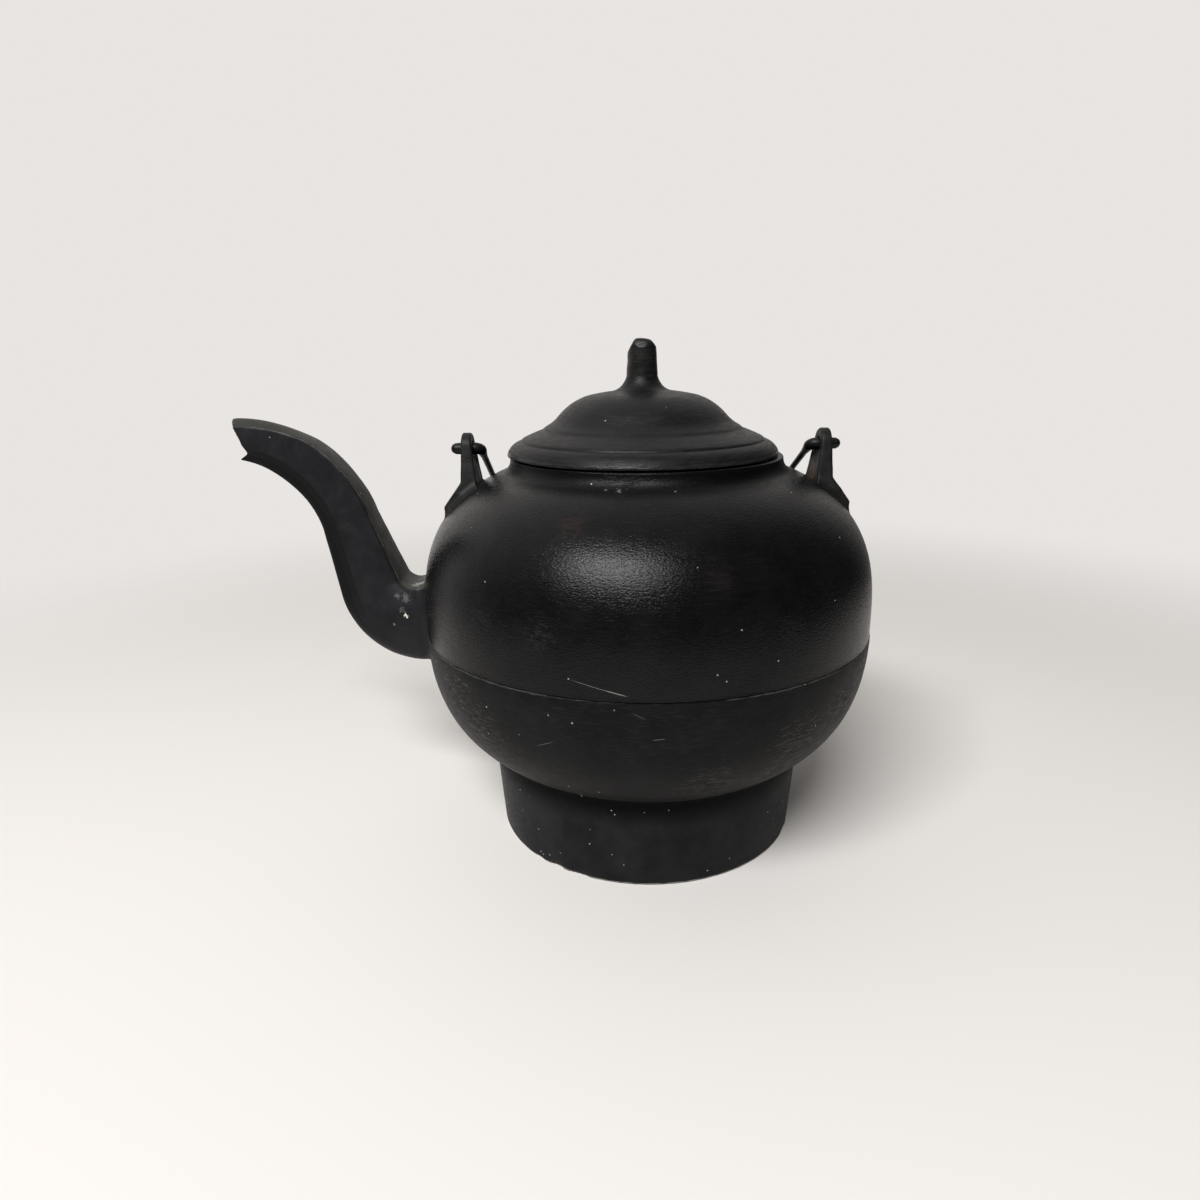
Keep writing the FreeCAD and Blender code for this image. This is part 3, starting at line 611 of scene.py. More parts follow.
def oval_cutter():
    """A rod of oval section along -X, through the wall where the spout is joined."""
    mesh = bpy.data.meshes.new("spout_hole")
    rod = bmesh.new()
    bmesh.ops.create_cone(rod, cap_ends=True, segments=64, radius1=1, radius2=1, depth=1)
    width, height = (half * MM for half in SPOUT_HOLE)
    flat = Matrix.Diagonal((height, width, ROD_LENGTH * MM, 1))
    turn = Matrix.Rotation(math.radians(90), 4, "Y")
    centre = Matrix.Translation((ROD_CENTRE * MM, 0, SEAM_HEIGHT * MM))
    bmesh.ops.transform(rod, matrix=centre @ turn @ flat, verts=rod.verts)
    rod.to_mesh(mesh)
    rod.free()
    cutter = bpy.data.objects.new("spout_hole", mesh)
    bpy.context.scene.collection.objects.link(cutter)
    return cutter


def apply_modifiers(piece):
    """Turn a piece's modifiers into plain mesh."""
    graph = bpy.context.evaluated_depsgraph_get()
    mesh = bpy.data.meshes.new_from_object(piece.evaluated_get(graph), depsgraph=graph)
    piece.modifiers.clear()
    piece.data = mesh


def pierce(piece, cutter):
    """Cut a hole through a piece and remove the cutter."""
    cut = piece.modifiers.new("hole", "BOOLEAN")
    cut.object = cutter
    cut.solver = "EXACT"
    apply_modifiers(piece)
    bpy.data.objects.remove(cutter)


print("spout hole", [2 * half for half in SPOUT_HOLE], "mm")


# %% Brushed finish
def pale_specks(*places):
    """Single pale specks at their own places, each under a mm wide."""
    return tuple({"place": place, "radius": 0.42, "colour": SPECK_COLOUR, "strength": 0.8} for place in places)


# Cast iron, brushed and blackened: the smoothest skin of the pot, with one broad soft highlight that the grain
# breaks up, faint rust tints and a scratch. A stain and a scarred patch have a place and a radius, and a nick has
# two ends, a width and a strength. All of their lengths are in mm.
BRUSHED_IRON = BLACK_IRON | {
    "gloss": 0.17, "roughness": (0.20, 0.31), "dust": 0.015, "speck_share": 0.15, "patchy": 0.0,
    "grain_depth": 0.16, "pit_depth": 0.05,
    "stains": (
        {"place": (-31.0, -73.7, 155.8), "radius": 8.0, "colour": "#32241F", "strength": 0.5, "soft": 1.2},
        {"place": (21.2, -91.2, 139.3), "radius": 8.0, "colour": "#2A2220", "strength": 0.45, "soft": 1.2},
        {"place": (69.5, -1.0, 160.5), "radius": 7.0, "colour": "#4A3024", "strength": 0.6, "soft": 1.4},
        {"place": (-18.4, -60.0, 166.4), "radius": 0.9, "colour": "#7A7773", "strength": 0.7},
        {"place": (-13.6, -61.4, 166.0), "radius": 1.5, "colour": "#7A7773", "strength": 0.6},
        {"place": (-11.0, -61.2, 166.9), "radius": 0.8, "colour": "#7A7773", "strength": 0.7},
        {"place": (7.4, -62.6, 166.0), "radius": 0.9, "colour": "#7A7773", "strength": 0.6},
    ) + pale_specks((19.6, -97.9, 106.7), (23.1, -97.2, 103.9), (-63.6, -71.6, 134.4), (27.9, -94.9, 122.2),
                    (-32.7, -94.4, 104.6)),
    "nicks": (((-32.8, -94.5, 104.6), (-16.0, -98.6, 100.5), 0.16, 0.4),
              ((-20.0, -97.8, 101.5), (-11.8, -99.3, 99.5), 0.3, 0.55)),
    "scarred": (((-43.0, -89.0, 118.5), 13.0), ((-66.0, -74.0, 120.0), 9.0), ((46.0, -88.0, 117.0), 12.0),
                ((-12.0, -60.5, 166.0), 14.0), ((60.0, 75.0, 128.0), 22.0), ((-50.0, 80.0, 118.0), 18.0)),
}
print("brushed iron with", len(BRUSHED_IRON["stains"]), "stains and", len(BRUSHED_IRON["nicks"]), "nicks")


# %% Upper shell
def painted_shade_above(piece, height, fade, strength):
    """Lay painted shade on a piece from a height upward, over a fade, both in mm."""
    mark(piece, "painted_shade", [strength * clamped((vertex.co.z / MM - height) / fade) for vertex in piece.data.vertices])


upper_shell = turned("upper_casting", upper_outline, 360, press_upper)
pierce(upper_shell, oval_cutter())
# painted shade: the neck is darkened and dulled from the cove up to the rim
painted_shade_above(upper_shell, height=163.0, fade=2.0, strength=0.75)
dressed(upper_shell, "pot", "upper_shell", iron_finish("brushed_black_cast_iron", BRUSHED_IRON))

# %% [markdown]
# ## The bowl
# The lower casting came out of a coarser mould and was never smoothed. It is a hair larger than the upper one,
# so its edge stands out as a thin, slightly ragged line round the belly.

# %% Sand-cast finish
# Cast iron as it left the sand: matt and a little dusty, with short pale scuffs where it was knocked.
SAND_CAST_IRON = BLACK_IRON | {
    "film": "#0D0D0E", "film_light": "#151516", "gloss": 0.09, "roughness": (0.42, 0.60), "sheen": 0.05,
    "streak_depth": 0.06, "grain_size": 1.1, "grain_depth": 0.12, "patchy": 0.05, "pit_spacing": 2.0, "pit_depth": 0.1,
    "dust": 0.05, "dust_colour": "#7C7A77", "scratch": 0.42, "scar": 0.2, "bare": 0.4,
    "stains": pale_specks((-31.8, -94.5, 87.5), (-16.7, -98.7, 94.4), (-40.6, -91.2, 89.3)),
    "nicks": (((-45.9, -85.8, 74.2), (-38.8, -90.3, 78.0), 0.15, 0.3),
              ((-3.3, -99.0, 82.4), (1.7, -99.1, 82.9), 0.2, 0.35),
              ((-10.4, -99.5, 93.3), (-5.5, -99.7, 90.8), 0.13, 0.25)),
    "scarred": (((-80.0, -59.2, 86.0), 14.0), ((-68.0, -69.0, 73.0), 14.0), ((54.8, -79.7, 71.9), 15.0),
                ((74.0, -65.0, 79.0), 16.0), ((49.2, -73.7, 55.9), 13.0), ((20.0, -87.5, 57.5), 13.0),
                ((30.0, 88.0, 66.0), 20.0), ((-62.0, 66.0, 78.0), 18.0)),
}
print("sand-cast iron with", len(SAND_CAST_IRON["scarred"]), "scuffed patches")

# %% Lower shell
SEAM_LEDGE = 0.4
RAGGED_EDGE = 1.4
# the seam's lip is worn pale, and paler towards the sides as a painted highlight: the share of its wear kept in front,
# and the mm to the side that add a full share
SEAM_GLINT_FRONT = 0.35
SEAM_GLINT_REACH = 60

bowl_points = oval(BOWL, 0, SEAM_DROP, BOWL["rise"], 84)
ledge = [(radius + SEAM_LEDGE * radius / BELLY_RADIUS, height, 0.0) for radius, height, _ in bowl_points]
top_radius, top_height, _ = ledge[0]
lip = [(top_radius - 0.5, top_height, 0.9), (top_radius - 0.15, top_height - 0.12, 1.0),
       (top_radius, top_height - 0.5, 0.9), (top_radius - 0.02, top_height - 1.1, 0.4)]
outside = [point for point in ledge if point[1] < top_height - 1.6]
inside = oval(BOWL, WALL, SEAM_DROP, BOWL["rise"] - WALL, 40)
outside[-1] = (0.0, outside[-1][1], 0.0)
inside[-1] = (0.0, inside[-1][1], 0.0)
lower_outline = outside[::-1] + lip[::-1] + inside


def press_lower(place):
    """Lumps of a coarse mould, and a seam edge that wanders in and out."""
    ragged = 0
    if place.z > SEAM_HEIGHT - RAGGED_EDGE:
        ragged = hollow(place, size=6, depth=0.28, seed=7) + hollow(place, size=2, depth=0.05, seed=17)
    return hollow(place, size=26, depth=0.2, seed=3) + hollow(place, size=6, depth=0.09, seed=6) + ragged


lower_shell = turned("lower_casting", lower_outline, 480, press_lower)
pierce(lower_shell, oval_cutter())
# painted highlight: the lip's pale wear is held back in front and full towards the sides
for vertex, worn in zip(lower_shell.data.vertices, lower_shell.data.attributes["worn"].data):
    worn.value *= min(1.0, SEAM_GLINT_FRONT + abs(vertex.co.x) / (SEAM_GLINT_REACH * MM))
dressed(lower_shell, "pot", "lower_shell", iron_finish("sand_cast_iron", SAND_CAST_IRON))

# %% [markdown]
# ## The foot
# The foot is an open ring that widens upward until it meets the bowl. It was filed smooth and blackened, and
# years of being set down have knocked chips out of its lower edge. Each chip is a place round the edge where the
# points sink further, so the chips are real notches in the mesh. Under the bowl the ring is darkened by a painted
# shadow of the bowl, which the mesh carries as a mark that fades downward.

# %% Foot outline
FOOT_RADIUS = 69.4
FOOT_WALL = 4.2
FOOT_FLARE = math.tan(math.radians(4.2))
FOOT_ROUND = 0.8
# how far the ring has widened where it meets the bowl, outside and inside, and how far it goes into the bowl
FOOT_SPREAD = 2.8
INNER_SPREAD = 2.3
FOOT_BURIED = 1.5
# degrees round from the front, length along the edge and depth, in mm
FOOT_CHIPS = ((-46, 3.0, 0.6), (-37, 4.5, 1.15), (-27.5, 5.5, 0.9), (21, 2.5, 0.4), (64, 4.0, 0.7),
              (118, 3.5, 0.7), (171, 5.0, 0.9), (-122, 4.0, 0.7))
CHIP_ZONE = 5
CHIP_RISE = 2.2


def foot_meets_bowl(radius):
    """Height at which the bowl has narrowed to a radius."""
    return BELLY_HEIGHT - oval_rise(BOWL, 0, radius)


foot_inner = FOOT_RADIUS - FOOT_WALL
foot_top = foot_meets_bowl(FOOT_RADIUS + FOOT_SPREAD) + FOOT_BURIED
inner_top = foot_meets_bowl(foot_inner + INNER_SPREAD) + FOOT_BURIED
foot_outline = (
    rounded((FOOT_RADIUS - FOOT_ROUND, FOOT_ROUND), FOOT_ROUND, -90, 0, 5, 1.0)
    + straight((FOOT_RADIUS, FOOT_ROUND + 0.6), (FOOT_RADIUS + foot_top * FOOT_FLARE, foot_top), 26)
    + [(FOOT_RADIUS + foot_top * FOOT_FLARE, foot_top, 0.0), (foot_inner + inner_top * FOOT_FLARE, inner_top, 0.0)]
    + straight((foot_inner + inner_top * FOOT_FLARE, inner_top - 1), (foot_inner, FOOT_ROUND + 0.6), 10)
    + rounded((foot_inner + FOOT_ROUND, FOOT_ROUND), FOOT_ROUND, 180, 270, 4, 0.6)
)


def press_foot(place):
    """Even filing, and chips along the lower edge."""
    sink = hollow(place, size=24, depth=0.2, seed=4)
    if place.z > CHIP_ZONE or place.xy.length < FOOT_RADIUS - 2:
        return sink
    turn = math.degrees(math.atan2(place.x, -place.y))
    for chip, length, depth in FOOT_CHIPS:
        along = math.radians((turn - chip + 180) % 360 - 180) * FOOT_RADIUS / length
        ragged = along + 0.5 * noise.noise(place * 0.9)
        fade = max(0, 1 - place.z / (depth * CHIP_RISE))
        sink += depth * max(0, 1 - ragged * ragged) * fade
    return sink


print("foot", round(foot_top, 1), "mm high with", len(FOOT_CHIPS), "chips")

# %% Foot ring
# Iron filed smooth and blackened: dull, even and a shade greyer than the bowl, with pale specks and bright chips.
FILED_FOOT_IRON = BLACK_IRON | {
    "film": "#161618", "film_light": "#232325", "gloss": 0.07, "roughness": (0.40, 0.54), "streak_depth": 0.06,
    "grain_depth": 0.05, "patchy": 0.0, "dust": 0.02, "speck_spacing": 4.5, "speck_radius": 0.36, "speck_share": 0.4,
    "bare": 0.9, "bare_colour": "#8A8884",
}
FOOT_SHADOW_DEPTH = 14.0

foot_ring = turned("foot", foot_outline, 720, press_foot)
# painted shadow: the bowl's shadow across the top of the ring, darkest under the bowl and fading downward
painted_shade_above(foot_ring, height=foot_top - FOOT_SHADOW_DEPTH, fade=9.0, strength=0.85)
dressed(foot_ring, "pot", "foot_ring", iron_finish("filed_black_iron", FILED_FOOT_IRON))

# %% [markdown]
# ## The lid
# The lid is a stepped dome: a rounded edge, a brow, a ledge, a cove and a low crown. It was turned in the mould,
# so its steps are soft. Its underside is hollow, with a skirt that drops into the neck. On this pot it lies a
# little towards the spout, as it was put down, so its axis comes from the middle of its own box in the frame.

# %% Lid sizes
lid_low, lid_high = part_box("lid")
LID_AXIS = (lid_low.x + lid_high.x) / 2 / MM
LID_RADIUS = (lid_high.x - lid_low.x) / 2 / MM
SKIRT_DEPTH = 7.0
SEAT = lid_low.z / MM + SKIRT_DEPTH
LID_WALL = 3.4
# radius and height above the seat, in mm, of the corners of its face: brow, ledge, cove and crown
LID_STEPS = ((53.0, 6.4), (53.0, 7.1), (43.0, 11.2), (43.0, 11.9), (36.4, 16.8), (24.0, 25.0))
DOME_RISE = 27.7
print("lid", round(2 * LID_RADIUS, 1), "mm wide, seat at", round(SEAT, 1), "mm")


# %% Curves of the lid's face
def bowed(start, end, bulge, steps, wear=0.0):
    """Points of an outline stretch that stands off its chord by a bulge, without its last one."""
    (r0, z0), (r1, z1) = start, end
    length = math.hypot(r1 - r0, z1 - z0)
    out, up = (z1 - z0) / length, -(r1 - r0) / length
    points = []
    for step in range(steps):
        share = step / steps
        off = bulge * 4 * share * (1 - share)
        points.append((r0 + (r1 - r0) * share + out * off, z0 + (z1 - z0) * share + up * off, wear))
    return points


def crown_cap(start, top, steps):
    """Points of the dome from its edge to the axis, on an arc centred on the axis."""
    rise = top - start[1]
    ball = (start[0] ** 2 + rise ** 2) / (2 * rise)
    whole = math.atan2(start[0], ball - rise)
    return [(ball * math.sin(whole * (1 - step / steps)), top - ball * (1 - math.cos(whole * (1 - step / steps))), 0.0)
            for step in range(steps + 1)]


def softened(points, rounds):
    """Round the corners of an outline by averaging each point with its neighbours, the ends held."""
    for _ in range(rounds):
        middle = [tuple(a / 4 + b / 2 + c / 4 for a, b, c in zip(*trio))
                  for trio in zip(points, points[1:], points[2:])]
        points = points[:1] + middle + points[-1:]
    return points


def lid_face(base):
    """The lid's stepped face, from its brow to the axis, at a base height."""
    brow, brow_top, ledge_edge, ledge_top, cove, crown = [(r, base + z) for r, z in LID_STEPS]
    steps = (straight(brow, brow_top, 2) + bowed(brow_top, ledge_edge, 0.15, 16) + straight(ledge_edge, ledge_top, 2)
             + bowed(ledge_top, cove, -0.55, 12) + bowed(cove, crown, 1.0, 20) + crown_cap(crown, base + DOME_RISE, 30))
    return softened(steps, 5)


print("lid face of", len(lid_face(SEAT)), "points")

# %% Lid outline
EDGE_HEIGHT = 2.5
EDGE_LEAN = 0.6
EDGE_ROUND = 0.7
SKIRT_GAP = 2.2
SKIRT_WALL = 2.6
SKIRT_ROUND = 0.5
skirt_outer = MOUTH_RADIUS - SKIRT_GAP
skirt_inner = skirt_outer - SKIRT_WALL
skirt_low = SEAT - SKIRT_DEPTH
face = lid_face(SEAT)
under = lid_face(SEAT - LID_WALL)
under = [point for point in under[::-1] if point[0] < skirt_inner - 0.4]
face[-1] = (0.0, face[-1][1], 0.0)
under[0] = (0.0, under[0][1], 0.0)
lid_outline = (
    under
    + [(skirt_inner, under[-1][1] - 0.6, 0.0)]
    + straight((skirt_inner, SEAT - 2), (skirt_inner, skirt_low + SKIRT_ROUND), 4)
    + rounded((skirt_inner + SKIRT_ROUND, skirt_low + SKIRT_ROUND), SKIRT_ROUND, 180, 270, 3)
    + rounded((skirt_outer - SKIRT_ROUND, skirt_low + SKIRT_ROUND), SKIRT_ROUND, 270, 360, 3)
    + straight((skirt_outer, SEAT - 5), (skirt_outer, SEAT), 4)
    + straight((skirt_outer + 0.3, SEAT), (LID_RADIUS - EDGE_ROUND, SEAT), 3)
    + rounded((LID_RADIUS - EDGE_ROUND, SEAT + EDGE_ROUND), EDGE_ROUND, 270, 360, 5, 1.0)
    + straight((LID_RADIUS, SEAT + EDGE_ROUND + 0.3), (LID_RADIUS - EDGE_LEAN, SEAT + EDGE_HEIGHT), 4, 1.0)
    + bowed((LID_RADIUS - EDGE_LEAN, SEAT + EDGE_HEIGHT), (LID_STEPS[0][0], SEAT + LID_STEPS[0][1]), 0.7, 10)
    + face
)


def press_lid(place):
    """Soft unevenness of the mould, a little stronger on the edge."""
    edge = hollow(place, size=9, depth=0.15, seed=8) if place.z < SEAT + 4 else 0
    return hollow(place, size=22, depth=0.25, seed=9) + hollow(place, size=5, depth=0.06, seed=10) + edge


print("lid outline of", len(lid_outline), "points")

# %% Lid
# Cast iron, blackened and rubbed: streaky and satin, and glossier on its edge and knob, where cloth and fingers rub.
RUBBED_LID_IRON = BLACK_IRON | {
    "film": "#0F0F10", "film_light": "#171718", "roughness": (0.38, 0.54), "streak_depth": 0.14,
    "patchy": 0.15, "scar": 0.2, "scar_depth": 0.03, "dust": 0.06, "speck_share": 0.06, "bare": 0.1, "rubbed": 2.0,
}

lid = turned("stepped_lid", lid_outline, 360, press_lid, LID_AXIS)
rubbed_iron = iron_finish("rubbed_black_cast_iron", RUBBED_LID_IRON)
dressed(lid, "lid", "lid", rubbed_iron, crease=30)

# %% [markdown]
# ## The knob
# The knob is a short post that flares into the dome. Its top was dressed by hand: the side towards the spout is
# cut away at a slant and the other shoulder is rounded over. It is turned first, and then those cuts push its
# points down and in, as a file would.

# %% Knob outline
KNOB_BASE = SEAT + DOME_RISE
knob_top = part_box("lid_knob")[1].z / MM
# radii of the post at the end of its flare and at its tip, of the flare on the dome, and of the rounding at the tip
POST_RADIUS = 6.9
TIP_RADIUS = 6.2
FLARE_RADIUS = 14.2
KNOB_ROUND = 3.2
# how high the flare reaches, and how far below the top the rounding starts
KNOB_FLARE = 5.2
KNOB_SHOULDER = 3.6
crown_radius, crown_rise = LID_STEPS[-1]
cap_rise = DOME_RISE - crown_rise
dome_ball = (crown_radius ** 2 + cap_rise ** 2) / (2 * cap_rise)
flare_low = (FLARE_RADIUS, KNOB_BASE - dome_ball + math.sqrt(dome_ball ** 2 - FLARE_RADIUS ** 2) - 0.25)
# the first points are inside the dome
knob_outline = (
    [(0.0, KNOB_BASE - 3.0, 0.0), (6.0, KNOB_BASE - 3.0, 0.0), (10.0, KNOB_BASE - 2.8, 0.0)]
    + bowed(flare_low, (POST_RADIUS, KNOB_BASE + KNOB_FLARE), -1.75, 18)
    + straight((POST_RADIUS, KNOB_BASE + KNOB_FLARE), (TIP_RADIUS, knob_top - KNOB_SHOULDER), 16, 1.0)
    + rounded((TIP_RADIUS - KNOB_ROUND, knob_top - KNOB_SHOULDER), KNOB_ROUND, 0, 70, 10, 0.8)
    + bowed((TIP_RADIUS - 2.1, knob_top - 0.5), (0.0, knob_top), 0.25, 6, 1.0)
    + [(0.0, knob_top, 1.0)]
)


def press_knob(place):
    """Dents left by filing, longer round the post than up it."""
    rise = clamped((place.z - KNOB_BASE - 2) / 3)
    longer = Vector((place.x, place.y, place.z * 2.2))
    return rise * (hollow(longer, size=7, depth=0.32, seed=11) + hollow(place, size=3, depth=0.06, seed=16))


print("knob outline of", len(knob_outline), "points, top at", round(knob_top, 1), "mm")


# %% Knob
def file_down(mesh, top, lean, softness, lean_back=0.0):
    """File a knob's points down to a slanted plane: height top on the axis, rising by lean per mm along x and y."""
    for vertex in mesh.vertices:
        limit = (top + lean * (vertex.co.x / MM - LID_AXIS) + lean_back * vertex.co.y / MM) * MM
        over = (vertex.co.z - limit) / (softness * MM)
        if over > -3:
            vertex.co.z -= softness * MM * math.log1p(math.exp(over))


knob = turned("knob", knob_outline, 96, press_knob, LID_AXIS)
file_down(knob.data, knob_top + 5.6, lean=1.9, softness=0.5)
file_down(knob.data, knob_top + 4.4, lean=-1.4, softness=0.6)
file_down(knob.data, knob_top + 10.4, lean=0.2, softness=0.8, lean_back=2.4)
file_down(knob.data, knob_top - 0.1, lean=-0.2, softness=0.4)
dressed(knob, "lid", "lid_knob", rubbed_iron, crease=60)

# %% [markdown]
# ## The spout
# The gooseneck was cast by itself and joined on. It has a flat strip along its back, slanted sides and a narrow
# keel, and its mouth is cut back. Its exact form is already in the CAD solid, with corners sharper than sand can
# hold. A Remesh modifier rebuilds a copy from small even quads, and a Smooth modifier then softens the corners
# as the mould did. How far a corner was smoothed away also tells where hands and cloths have worn it. Its root is
# carried a little way into the wall and spread in a small fillet, so that it looks cast on.

# %% Joining a casting to the belly
# how far a root is carried into the wall, in mm, and the share of the belly's oval up to which a point is root
ROOT_DEPTH = 1.6
ROOT_SHARE = 1.03
# from this height the shoulder slopes, so a root there sinks as well
SLOPE_HEIGHT = 140
SLOPE_SINK = 0.9


def into_belly(place):
    """Carry the root of a joined casting a little way into the wall, so that no gap shows round it."""
    from_axis = math.hypot(place.x, place.y)
    shape = SHOULDER if place.z > BELLY_HEIGHT else BOWL
    share = (from_axis / BELLY_RADIUS) ** shape["power"]
    share += (abs(place.z - BELLY_HEIGHT) / shape["rise"]) ** shape["power"]
    if share > ROOT_SHARE:
        return Vector()
    sink = SLOPE_SINK if place.z > SLOPE_HEIGHT else 0
    return Vector((-place.x / from_axis, -place.y / from_axis, -sink)).normalized() * ROOT_DEPTH


def fillet(piece, radius):
    """Spread the root of a joined casting over the belly in a hollow curve of a radius in mm.

    The side that faces the pot's axis was filed flat, so it keeps its own line.
    """
    moves = []
    for vertex in piece.data.vertices:
        height, outward = above_belly(vertex.co / MM)
        near = clamped(1 - height / radius)
        sideways = vertex.normal - outward * vertex.normal.dot(outward)
        from_axis = Vector((vertex.co.x, vertex.co.y, 0)).normalized()
        spread = clamped(1 + 1.5 * vertex.normal.dot(from_axis))
        moves.append(sideways * radius * spread * (1 - math.sqrt(1 - near * near)) * MM)
    for vertex, move in zip(piece.data.vertices, moves):
        vertex.co += move


print("castings are joined", ROOT_DEPTH, "mm into the wall")


# %% Recasting a CAD node
def recast(name, node, quad_size, smoothing, rub):
    """Rebuild a CAD node as a soft-cornered casting of quads of a size in mm, joined into the belly.

    rub says how fast a corner counts as worn, for each mm that smoothing took off it.
    """
    mesh = frame["nodes"][node].data.copy()
    for vertex in mesh.vertices:
        vertex.co += into_belly(vertex.co / MM) * MM
    piece = bpy.data.objects.new(name, mesh)
    bpy.context.scene.collection.objects.link(piece)
    weld = piece.modifiers.new("one skin", "WELD")
    weld.merge_threshold = 0.002 * MM
    remesh = piece.modifiers.new("even quads", "REMESH")
    remesh.mode = "VOXEL"
    remesh.voxel_size = quad_size * MM
    apply_modifiers(piece)
    sharp = [vertex.co.copy() for vertex in piece.data.vertices]
    soften = piece.modifiers.new("soft corners", "SMOOTH")
    soften.factor = 0.5
    soften.iterations = smoothing
    apply_modifiers(piece)
    lost = [(before - vertex.co).dot(vertex.normal) / MM for before, vertex in zip(sharp, piece.data.vertices)]
    mark(piece, "worn", [clamped(depth * rub) for depth in lost])
    return piece


def roughen(piece, size, depth, seed):
    """Press a piece's skin in unevenly, in lumps of a size and to a depth in mm."""
    normals = [vertex.normal.copy() for vertex in piece.data.vertices]
    for vertex, normal in zip(piece.data.vertices, normals):
        vertex.co -= normal * hollow(vertex.co / MM, size, depth, seed) * MM


print("recast corners are worn where they were smoothed away")

# %% [markdown]
# The spout's sides are flat down to a chine, the long edge between side and underside. Below it they were
# dressed in towards the keel, and that facet gets painted shade, as do the sides just under the strip's edges,
# while the strip along the back gets painted light. To find those zones, each point of the mesh is measured
# against the spout's middle line: a bend, a straight and a bend.

# %% Sections of the gooseneck
# the middle line in mm: start and radius of its first bend, lean and length of the straight, radius of its last bend
BEND_START = -102.6
ROOT_BEND = 23.35
LEAN = math.radians(74.7)
RISER = 31.0
TIP_BEND = 50.3
# length along the middle line and half height of the section there, in mm
GOOSENECK = ((0, 18.95), (30.4, 15.35), (61.4, 12.15), (94.2, 11.15), (127.0, 8.65))
riser_way = Vector((-math.cos(LEAN), 0, math.sin(LEAN)))
riser_up = Vector((math.sin(LEAN), 0, math.cos(LEAN)))
root_centre = Vector((BEND_START, 0, SEAM_HEIGHT + ROOT_BEND))
knee = root_centre - riser_up * ROOT_BEND
tip_centre = knee + riser_way * RISER - riser_up * TIP_BEND


def gooseneck_section(place):
    """The way across the middle line towards the strip, the length along it and the share of the half height."""
    flat = Vector((place.x, 0, place.z))
    past = (flat - knee).dot(riser_way)
    if past < 0:
        spoke = root_centre - flat
        turn = max(0.0, math.atan2(spoke.x, spoke.z))
        along, up = turn * ROOT_BEND, ROOT_BEND - (spoke.length if turn else spoke.z)
    elif past < RISER:
        turn, along, up = LEAN, GOOSENECK[1][0] + past, (flat - knee).dot(riser_up)
    else:
        spoke = flat - tip_centre
        turn = math.atan2(spoke.x, spoke.z)
        along, up = GOOSENECK[2][0] + (LEAN - turn) * TIP_BEND, spoke.length - TIP_BEND
    for (first, size), (last, next_size) in zip(GOOSENECK, GOOSENECK[1:]):
        if along <= last:
            break
    half_height = size + (next_size - size) * clamped((along - first) / (last - first))
    return Vector((math.sin(turn), 0, math.cos(turn))), along, up / half_height


print("knee of the spout at", [round(value, 1) for value in knee])

# %% Chine, painted shade and painted light
# shares of the half height: the chine that shows, the solid's lower one, and the edges of the keel and of the strip
CHINE = -0.24
OLD_CHINE = -0.60
KEEL_EDGE = -0.95
STRIP_EDGE = 0.86
KEEL_LOSS = 0.57
# mm along the spout: where the facet starts and how long it takes to be full, and where painted shade lies under the
# strip
FACET_START = 10
FACET_FADE = 22
SHADED_STRETCH = (12, 80)
# strengths of the painted shade on the facet and under the strip's edges, and of the painted light on the strip
FACET_SHADE = 0.85
UNDER_STRIP_SHADE = 0.8
STRIP_LIGHT = 0.8


def side_width(share, chine):
    """How much of its width the spout keeps at a share of the half height, if it narrows from a chine to the keel."""
    return 1 - KEEL_LOSS * clamped((chine - share) / (chine - KEEL_EDGE))


def dress_chine(piece):
    """Draw the sides in below the chine; mark painted shade on the facet and under the strip, painted light on the
    strip.
    """
    shade_marks, dust, sides = [], [], []
    for vertex in piece.data.vertices:
        strip_way, along, share = gooseneck_section(vertex.co / MM)
        from_root = clamped((along - FACET_START) / FACET_FADE)
        facing = vertex.normal.dot(strip_way)
        # painted shadow on the sides just under the strip's edges, and painted shade on the facet below the chine
        under_strip = share > STRIP_EDGE and facing < 0.5 and SHADED_STRETCH[0] < along < SHADED_STRETCH[1]
        facet_shade = FACET_SHADE * from_root * clamped((CHINE - share) / 0.06)
        shade_marks.append(max(UNDER_STRIP_SHADE if under_strip else 0, facet_shade))
        # painted light on the faces that turn towards the strip
        dust.append(STRIP_LIGHT * clamped((facing - 0.55) / 0.2))
        kept = side_width(share, CHINE) / side_width(share, OLD_CHINE)
        sides.append(vertex.co.y * (1 - from_root * (1 - kept)))
    for vertex, side in zip(piece.data.vertices, sides):
        vertex.co.y = side
    for worn, covered in zip(piece.data.attributes["worn"].data, shade_marks):
        worn.value *= 1 - covered
    mark(piece, "painted_shade", shade_marks)
    mark(piece, "painted_light", dust)


print("chine at", CHINE, "of the half height")

